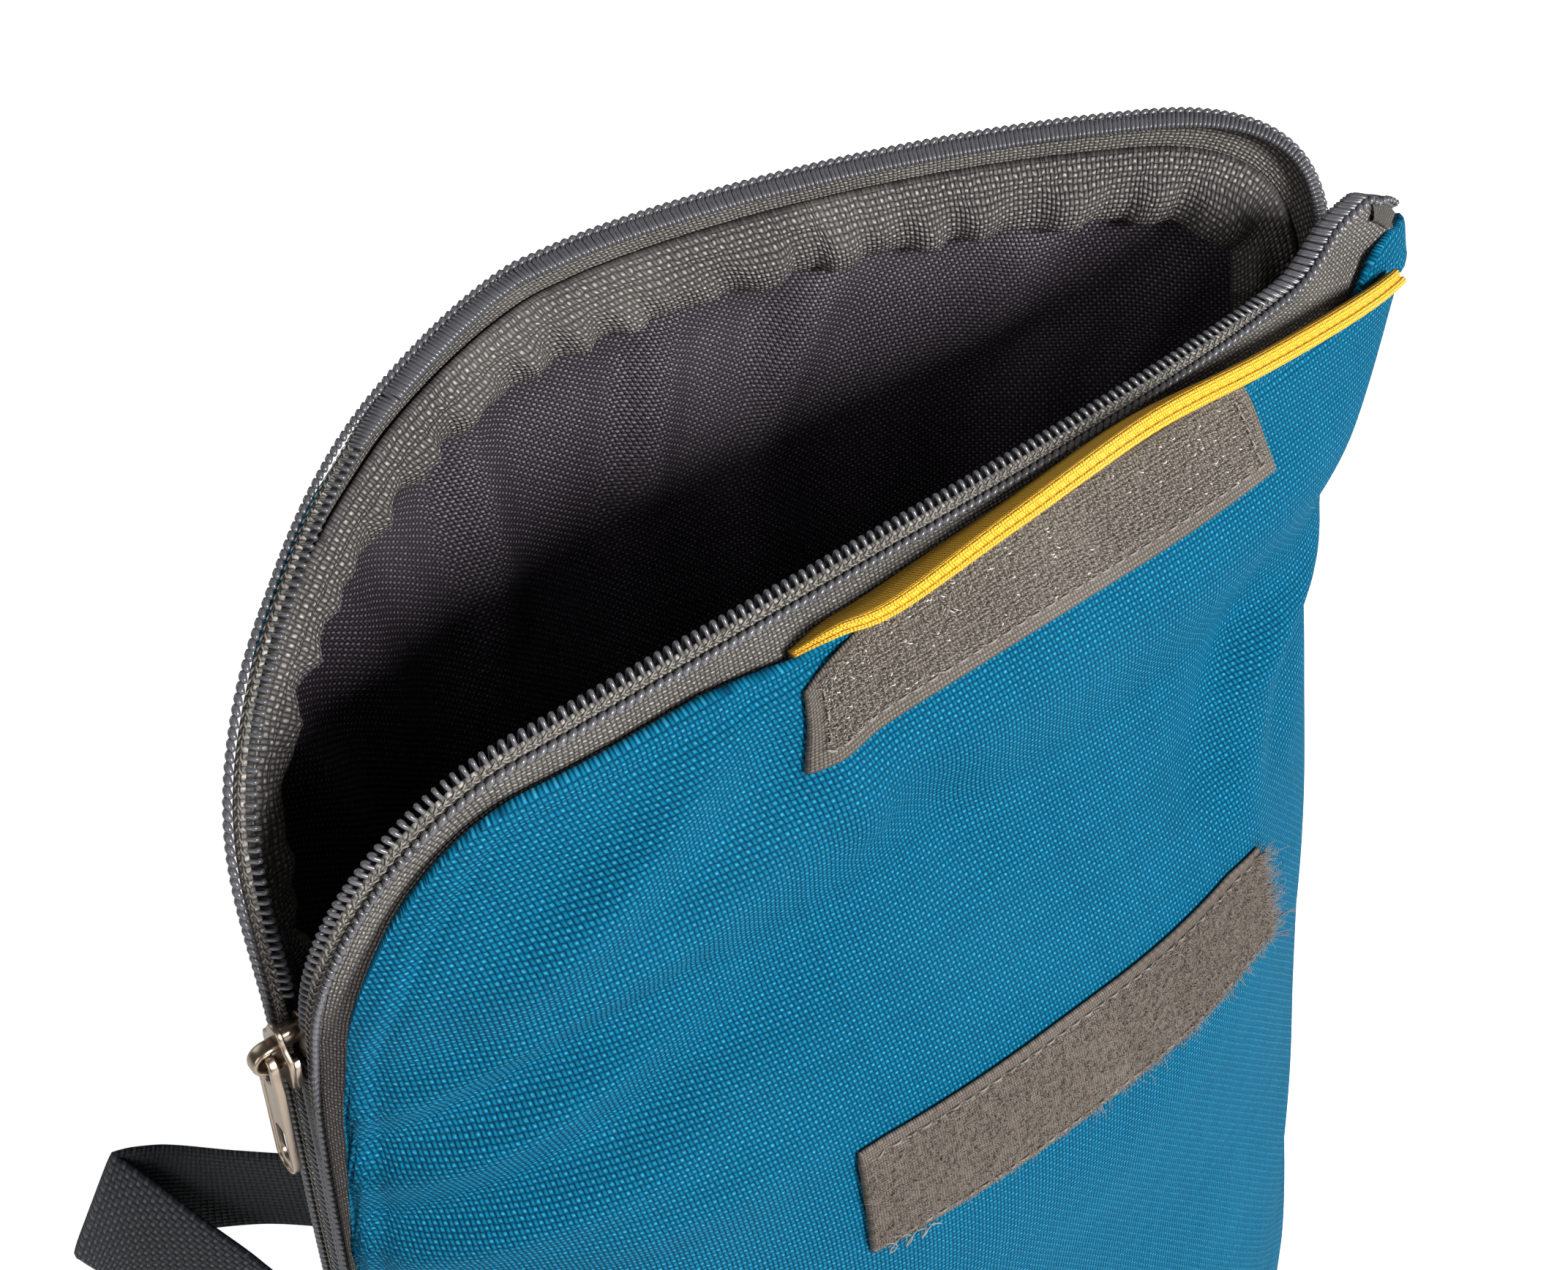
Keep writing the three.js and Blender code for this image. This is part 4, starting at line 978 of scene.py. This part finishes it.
def makeChain():  # the two coils locked together below the slider
    height = np.linspace(2.3, zipSizes["sliderHeight"] - zipSizes["sliderLong"] / 2, 120)
    seam = wallPoint(front, height * 0 - 1, height)
    outward = wallNormal(front, height * 0 - 1, height)
    for label, wall, phase in (("Front", front, 0.0), ("Back", back, 0.5)):
        inward = np.tile((0.0, float(wall["facing"]), 0.0), (len(height), 1))
        nodes = ["zip_chain_closed"] if label == "Front" else []
        makeCoil("closedCoil" + label, seam, inward, outward, nodes, phase, zipLook["closedShift"])


makeChain()
print("zip made")

# Slider and pull tab, in a frame with X out of the bag and Z up the seam
sliderLook = {
    "plateLow": 1.5, "plateHigh": 2.4, "axisOut": 3.85, "axisUp": 0.4, "archMiddle": 2.1, "archHalf": 1.1,
    "archThick": 0.42, "pullLong": 27, "pullThick": 1.4, "pullWeb": 0.8, "pullRim": 0.6,
}


def seamAt(height):
    return wallPoint(front, np.array([-1.0]), np.array([float(height)]))[0]


def sliderFrame():
    low, high = seamAt(zipSizes["sliderHeight"] - sliderLook["pullLong"]), seamAt(zipSizes["sliderHeight"])
    lean = math.atan2(high[0] - low[0], sliderLook["pullLong"])
    turned = Matrix.Rotation(lean, 4, "Y") @ Matrix.Rotation(math.pi, 4, "Z")
    return Matrix.Translation(Vector(high)) @ turned


def drawnPlate(name, outlines, low, high, bevel, finish, place, nodes=(), body="bag"):
    curve = bpy.data.curves.new(name, "CURVE")  # outlines across (y) and along (z) the seam
    curve.dimensions = "2D"
    curve.fill_mode = "BOTH"
    curve.extrude = ((high - low) / 2 - bevel) * mm
    curve.bevel_depth = bevel * mm
    curve.bevel_resolution = 3
    curve.offset = -bevel * mm
    for outline in outlines:
        spline = curve.splines.new("POLY")
        spline.points.add(len(outline) - 1)
        flat = np.hstack([np.asarray(outline) * mm, np.tile((0, 1), (len(outline), 1))])
        spline.points.foreach_set("co", flat.ravel())
        spline.use_cyclic_u = True
    drawn = bpy.data.objects.new(name + "Drawn", curve)
    bpy.context.scene.collection.objects.link(drawn)
    mesh = bpy.data.meshes.new_from_object(drawn.evaluated_get(bpy.context.evaluated_depsgraph_get()))
    bpy.data.objects.remove(drawn)
    upright = Matrix(((0, 0, 1, (low + high) / 2), (1, 0, 0, 0), (0, 1, 0, 0), (0, 0, 0, 1)))
    points = np.array([v.co for v in mesh.vertices]) / mm
    points = np.array([place @ (upright @ Vector(p)) for p in points])
    faces = [tuple(p.vertices) for p in mesh.polygons]
    bpy.data.meshes.remove(mesh)
    return addPiece(name, points, faces, finish, nodes, body)


def arc(cx, cy, radius, start, stop, count=12):
    turn = np.radians(np.linspace(start, stop, count))
    return [(cx + radius * math.cos(a), cy + radius * math.sin(a)) for a in turn]


def sliderOutline():
    half = zipSizes["sliderLong"] / 2
    right = [(3.0, -half), (3.5, -half + 0.5), (3.9, 0.2), (3.6, 1.6), (2.5, 2.6)]
    right = right + arc(0, half - 1.0, 1.9, 10, 80, 8)
    return right + [(-x, y) for x, y in right[::-1]]


def pullOutline():
    foot = 2.4 - sliderLook["pullLong"]
    crown = arc(0, -1.5, 2.3, 0, 180, 16)
    left = [(-2.3, -2.4), (-2.5, -4.2), (-2.8, -6.0)]
    right = [(2.8, -6.0), (2.5, -4.2), (2.3, -2.4)]
    return crown + left + arc(0, foot, 2.4, 180, 360, 18) + right


def slotOutline(top, foot, half):
    return arc(0, -top - half, half, 0, 180, 10) + arc(0, -foot + half, half, 180, 360, 10)


def makeSlider():
    look, place = sliderLook, sliderFrame()
    low, high = look["plateLow"], look["plateHigh"]
    drawnPlate("sliderTop", [sliderOutline()], low, high, 0.3, "nickel", place, ["zip_slider"])
    drawnPlate("sliderUnder", [sliderOutline()], -high, -low, 0.3, "nickel", place)
    half = zipSizes["sliderLong"] / 2
    post = [(-0.9, half - 3.4), (0.9, half - 3.4), (0.9, half - 0.5), (-0.9, half - 0.5)]
    drawnPlate("sliderPost", [post], -low - 0.2, low + 0.2, 0.1, "nickel", place)
    foot, head = -half + 0.5, half * 0.3
    for sign, label in ((1, "A"), (-1, "B")):
        rim = [(sign * 3.0, foot), (sign * 3.8, foot), (sign * 3.8, head), (sign * 3.0, head)]
        drawnPlate("sliderRim" + label, [rim], 0.8, low + 0.2, 0.1, "nickel", place)
    turn = np.radians(np.linspace(-90, 90, 24))
    round0, up = look["archMiddle"], look["axisUp"]
    bow = np.stack([look["axisOut"] + round0 * np.cos(turn), up + round0 * np.sin(turn)], 1)
    line = np.vstack([[(high - 0.3, up - round0)], bow, [(high - 0.3, up + round0)]])
    way = unit(np.gradient(line, axis=0))
    normal = np.stack([way[:, 1], -way[:, 0]], 1)
    round8 = [(1, -0.6), (0.6, -1), (-0.6, -1), (-1, -0.6), (-1, 0.6), (-0.6, 1), (0.6, 1), (1, 0.6)]
    points = []
    for middle, out in zip(line, normal):
        for a, b in round8:
            x, z = middle + out * a * look["archThick"]
            points.append(place @ Vector((x, b * look["archHalf"], z)))
    addPiece("sliderArch", points, tubeFaces(1, len(line), len(round8)), "nickel")
    hinge = place @ Matrix.Translation((look["axisOut"], 0, look["axisUp"]))
    thick = look["pullThick"] / 2
    eye, slot = slotOutline(-0.2, 5.0, 1.2), slotOutline(16.2, 24.4, 1.6)
    panel = slotOutline(6.0, look["pullLong"] - look["pullRim"], 2.1)
    web = look["pullWeb"] / 2
    sheet = slotOutline(5.6, look["pullLong"] - 0.3, 2.35)
    drawnPlate("pullTab", [pullOutline(), eye, panel], -thick, thick, 0.3, "nickel", hinge,
               ["zip_pull"], "pull_tab")
    drawnPlate("pullWeb", [sheet, slot], -web, web, 0.15, "nickel", hinge, (), "pull_tab")


makeSlider()
print("slider made")

# Hook patch and loop strip, sewn on the front
hookLook = {
    "left": -0.295, "right": 0.51, "fan": 0.035, "foot": 275, "top": 290.2, "topRise": 2.0, "cut": 4,
    "wide": 96, "selvedge": 2.4, "spacing": 0.72, "missing": 0.12,
    # the last share is of hooks drawn white as painted glints
    "hookHigh": 1.0, "hookWire": 0.085, "glintShare": 0.035,
    "stitches": [(0.035, 0.9), (0.03, 0.13), (0.97, 0.13), (0.965, 0.9)],  # across, up
}
loopLook = {
    "left": -0.38, "right": 0.39, "fan": 0.0, "foot": 187.5, "top": 208, "topRise": 0, "cut": 0,
    "fibres": 4600, "pileHigh": 1.1, "fibreWire": 0.065, "frayed": 700,
    "stitches": [(0.97, 0.93), (0.03, 0.93), (0.035, 0.06), (0.97, 0.06)],
}


def patchPlace(look, across, up):  # across and up run from 0 to 1 over the patch
    low = 1 - up
    left, right = look["left"] - look["fan"] * low, look["right"] + look["fan"] * low
    top = look["top"] + look["topRise"] * softStep(across, 0.2, 0.55)
    top = top - look["cut"] * np.maximum(1 - across / 0.15, 0)
    return left + (right - left) * across, look["foot"] + (top - look["foot"]) * up


def onFront(look, across, up, lift):
    side, height = patchPlace(look, across, up)
    seat = layers["patchSeat"] + lift
    return wallPoint(front, side, height, seat, panelLook["folds"], panelLook["creases"])


def makePatch(name, look, finish, slot, node, thick):
    across, up = np.meshgrid(np.linspace(0, 1, 140), np.linspace(0, 1, 30))
    outer = onFront(look, across, up, thick(across, up))
    inner = onFront(look, across, up, -0.6)
    uv = np.stack([across * 100, up * (look["top"] - look["foot"])], -1)
    return addShell(name, outer, inner, uv, finish, slot, [node])


makePatch("hookPatch", hookLook, "hookBase", "hook_grey", "hook_patch", lambda across, up: 0.35 + 0 * up)
makePatch("loopStrip", loopLook, "loopBase", "loop_grey", "loop_strip",
          lambda across, up: 0.35 + 0.5 * softStep(np.minimum(up, 1 - up), 0.05, 0.12))


def makeHooks():
    rng = np.random.default_rng(11)
    high, wide = hookLook["top"] - hookLook["foot"], hookLook["wide"]
    rows, cols = int(high / hookLook["spacing"]), int(wide / hookLook["spacing"])
    across, up = np.meshgrid((np.arange(cols) + 0.5) / cols, (np.arange(rows) + 0.5) / rows)
    across = (across + rng.normal(0, 0.0015, across.shape)).ravel()
    up = (up + rng.normal(0, 0.008, up.shape)).ravel()
    keep = (up * high > hookLook["selvedge"]) & (across * wide > 2.0) & (across < 0.985)
    keep &= rng.random(len(up)) > hookLook["missing"]
    across, up = across[keep], up[keep]
    root = onFront(hookLook, across, up, 0.25)
    side, height = patchPlace(hookLook, across, up)
    out = wallNormal(front, side, height)
    lean = np.cross(out, (0.0, 0.0, 1.0)) * rng.choice((-1, 1), (len(up), 1))
    lean = unit(lean + rng.normal(0, 0.4, (len(up), 3)))
    bow, stand = np.array([0, 0.05, 0.2, 0.5, 0.62]), np.array([0, 0.6, 0.95, 0.9, 0.6])
    size = hookLook["hookHigh"] * rng.uniform(0.7, 1.1, (len(up), 1, 1))
    paths = root[:, None] + size * (out[:, None] * stand[:, None] + lean[:, None] * bow[:, None])
    # a few hooks are white and thicker: painted glints of light on the patch
    glinting = rng.random(len(up)) < hookLook["glintShare"]
    addTubes("hooks", paths[~glinting], hookLook["hookWire"], "hookNylon", 4)
    addTubes("glintHooks", paths[glinting], 1.2 * hookLook["hookWire"], "glintNylon", 4)


def makePile():
    rng = np.random.default_rng(12)
    count = loopLook["fibres"]
    across, up = rng.random(count), rng.uniform(0.06, 0.93, count)
    root = onFront(loopLook, across, up, 0.55)
    side, height = patchPlace(loopLook, across, up)
    out = wallNormal(front, side, height)
    lean = rng.normal(0, 1, (count, 3))
    lean = unit(lean - out * np.einsum("ij,ij->i", lean, out)[:, None])
    t = np.linspace(0, 1, 4)
    arch = np.sin(math.pi * t * 0.8)
    size = rng.uniform(0.6, 1.3, (count, 1, 1)) * loopLook["pileHigh"]
    curl = unit(np.cross(out, lean))
    paths = root[:, None] + size * (out[:, None] * (arch * 0.8)[:, None] + lean[:, None] * (t * 1.3)[:, None]
                                    + curl[:, None] * (np.sin(t * 4) * 0.35)[:, None])
    wire = loopLook["fibreWire"] * np.array([1, 1, 0.8, 0.5])
    addTubes("pile", paths, wire, "brownFibre", 3)


def makeFray():  # pile worn out over the right end and the lower edge beside it
    rng = np.random.default_rng(13)
    count = loopLook["frayed"]
    atEnd = rng.random(count) < 0.6
    across = np.where(atEnd, rng.uniform(0.97, 1.0, count), 1 - 0.6 * rng.random(count) ** 1.5)
    up = np.where(atEnd, rng.uniform(0.02, 0.98, count), rng.uniform(0.0, 0.08, count))
    root = onFront(loopLook, across, up, 0.5)
    out = wallNormal(front, *patchPlace(loopLook, across, up))
    right = unit(np.cross((0.0, 0.0, 1.0), -out))
    way = np.where(atEnd[:, None], -right, (0.0, 0.0, -1.0)) + 0.35 * out + rng.normal(0, 0.45, (count, 3))
    curl = rng.normal(0, 0.5, (count, 3))
    long = np.where(atEnd, rng.uniform(0.8, 3.4, count), rng.uniform(0.6, 1.9, count))[:, None, None]
    t = np.linspace(0, 1, 6)[:, None]
    paths = root[:, None] + long * (way[:, None] * t + curl[:, None] * t**2 * (1 - t) * 2)
    wire = loopLook["fibreWire"] * np.array([1, 1, 1, 0.9, 0.8, 0.5])
    addTubes("frayedPile", paths, wire, "brownFibre", 3)


def makeLooseThread():  # loops of sewing thread hanging from the lower left corner
    t = np.linspace(0, 1, 90)
    across = 0.015 + 0.085 * t + 0.012 * np.sin(t * 6.28 * 3.2)
    up = 0.02 - 0.09 * np.abs(np.sin(t * math.pi * 3.2)) * (0.5 + t) + 0.02 * np.cos(t * 17)
    line = onFront(loopLook, across, up, 0.3 + 0.5 * np.abs(np.sin(t * 9)))
    addTubes("looseThread", line[None], np.full((1, len(t)), 0.14), "greyThread", 6)


makeLooseThread()
makeHooks()
makePile()
makeFray()


def patchStitches(name, look):  # a line of stitches through the marks of a patch
    marks = np.array(look["stitches"], float)
    across, up = atIndex(marks, np.linspace(0, len(marks) - 1, 160)).T
    normal = wallNormal(front, *patchPlace(look, across, up))
    line = onFront(look, across, up, 0.45)
    return addStitches(name, line, normal, "greyThread", long=2.3, gap=0.5, lift=0.3, radius=0.2)


patchStitches("hookStitches", hookLook)
patchStitches("loopStitches", loopLook)
print("hook patch and loop strip made")

# Yellow tape: two layers standing out of the seam under the zip
yellowLook = {
    "rows": np.array([  # side, drop below the zip, lean from upright, reach, thickness
        [-0.285, 9.8, 49.25, 1.6, 1],
        [-0.23, 9.2, 53.75, 4.5, 1.9],
        [-0.15, 9.3, 60.5, 6.2, 2.4],
        [0.05, 8.05, 51.25, 6.5, 2.9],
        [0.3, 6.4, 46, 6.5, 3.2],
        [0.52, 8.6, 41.25, 6, 3.3],
        [0.72, 10.8, 39.5, 5.5, 3.3],
        [0.87, 13.1, 36.5, 4.5, 3],
    ]),
    "steps": 160,
    "layer": [  # share of the reach, of the half thickness, set back, round the lower of the two layers
        (0, -1, 0), (0.4, -1.02, 0), (0.8, -1, 0), (1, -0.9, 0.3),
        (1, -0.6, 0.04), (1, -0.28, 0.05), (1, -0.04, 0.6),
    ],
}


def throughRows(rows, count):  # Catmull-Rom curve through the rows of a table
    ends = np.vstack([2 * rows[0] - rows[1], rows, 2 * rows[-1] - rows[-2]])
    place = np.linspace(0, len(rows) - 1, count)
    k = np.clip(place.astype(int), 0, len(rows) - 2)
    t = (place - k)[:, None]
    a, b, c, d = ends[k], ends[k + 1], ends[k + 2], ends[k + 3]
    return 0.5 * (2 * b + (c - a) * t + (2 * a - 5 * b + 4 * c - d) * t**2 + (3 * b - a - 3 * c + d) * t**3)


def makeYellowTape():
    side, drop, lean, reach, thick = throughRows(yellowLook["rows"], yellowLook["steps"]).T
    height = zipSizes["mouth"] - drop
    forward, upward = np.sin(np.radians(lean))[:, None], np.cos(np.radians(lean))[:, None]
    ahead = wallNormal(front, side, height)
    ahead[:, 2] = 0
    ahead = unit(ahead)
    up = np.array([0.0, 0.0, 1.0])
    outward, over = ahead * forward + up * upward, -ahead * upward + up * forward
    half = thick[:, None] / 2
    root = wallPoint(front, side, height, layers["tapeHalf"] + 0.3 + (half * upward)[:, 0])
    root[:, 2] += 0.3 + (half * forward)[:, 0]
    lower = yellowLook["layer"]
    profile = np.array(lower + [(a, -b, c) for a, b, c in lower[::-1]])
    out = profile[None, :, :1] * reach[:, None, None] - profile[None, :, 2:]
    points = root[:, None] + outward[:, None] * out + over[:, None] * (profile[None, :, 1:2] * half[:, None])
    far = lengthAlong(root)
    around = np.concatenate([[0], np.cumsum(np.hypot(*np.diff(profile[:, :2] * (6, 1.6), axis=0).T))])
    uv = np.stack(np.broadcast_arrays(far[:, None], around[None, :]), -1)
    rows, cols = points.shape[:2]
    at = np.arange(rows * cols).reshape(rows, cols)
    turned = np.roll(at, -1, 1)
    faces = np.stack([at[:-1], at[1:], turned[1:], turned[:-1]], -1).reshape(-1, 4).tolist()
    faces += [at[0].tolist(), at[-1, ::-1].tolist()]
    points, uv = points.reshape(-1, 3), uv.reshape(-1, 2)
    addPiece("yellowTape", points, faces, "yellowTwill", ["edge_tape"], uv=uv)


makeYellowTape()
print("yellow tape made")

# Shoulder straps of webbing
strapLook = {
    "width": 25, "thick": 1.6, "steps": 300, "cols": 18,
    "rows": np.array([  # middle x, y, z, then the way to the upper edge
        [-79, 33, 138.5, 0, 0, 1],
        [-93.5, 44, 139, 0, 0, 1],
        [-105, 54, 139.4, 0.03, -0.01, 1],
        [-118.55, 63.94, 139.3, 0.36, -0.12, 1.08],
        [-125.67, 66.27, 141.06, 0.51, -0.17, 1.14],
        [-128.15, 67.07, 141.5, 0.51, -0.17, 1.14],
        [-129.06, 67.33, 141.42, 0.51, -0.17, 1.14],
        [-128.64, 66.87, 140.82, 0.51, -0.17, 1.14],
        [-127.81, 65.76, 139.25, 0.51, -0.17, 1.14],
        [-125.44, 62.59, 134.74, 0.55, -0.23, 1.02],
        [-121.87, 57.83, 127.98, 0.6, -0.33, 0.81],
        [-117.12, 51.48, 118.97, 0.65, -0.42, 0.64],
        [-113, 44.5, 106, 0.7, -0.5, 0.5],
        [-113.5, 38.5, 90, 0.6, -0.77, 0.2],
        [-115.5, 33, 70, 0.25, -0.97, 0],
        [-115, 30, 44, -0.2, -0.98, 0],
        [-111, 27, 20, -0.35, -0.93, 0],
        [-97, 22, 6, -0.35, -0.93, 0],
    ]),
}


def makeStrap(name, mirror, node):
    rows = strapLook["rows"] * np.array([mirror, 1, 1, mirror, 1, 1])
    reach = lengthAlong(rows[:, :3])
    course = sectionAt(np.column_stack([reach, rows]), np.linspace(0, reach[-1], strapLook["steps"])).T
    middle, edge = course[:, 1:4], course[:, 4:]
    way = unit(np.gradient(middle, axis=0))
    face = unit(np.cross(way, edge)) * mirror
    across = np.linspace(-1, 1, strapLook["cols"])
    flat = middle[:, None] + edge[:, None] * (across * strapLook["width"] / 2)[:, None]
    thin = strapLook["thick"] / 2 * (1 - 0.35 * np.abs(across) ** 8)
    outer = flat + face[:, None] * thin[:, None]
    inner = flat - face[:, None] * thin[:, None]
    far = lengthAlong(middle)
    uv = np.stack(np.broadcast_arrays((across * strapLook["width"] / 2)[None, :], far[:, None]), -1)
    strap = addShell(name, outer, inner, uv, "webbing", "web_slate", [node])
    faces = (len(middle) - 1) * (strapLook["cols"] - 1)
    side = np.zeros(len(strap.data.polygons), np.int32)
    side[faces : 2 * faces] = 1
    # the inner face takes the darker copy of the webbing, painted shade
    strap.data.materials.append(finishes["shadedWebbing"])
    strap.data.polygons.foreach_set("material_index", side)


makeStrap("strapLeft", 1, "strap_left")
makeStrap("strapRight", -1, "strap_right")
print("straps made")
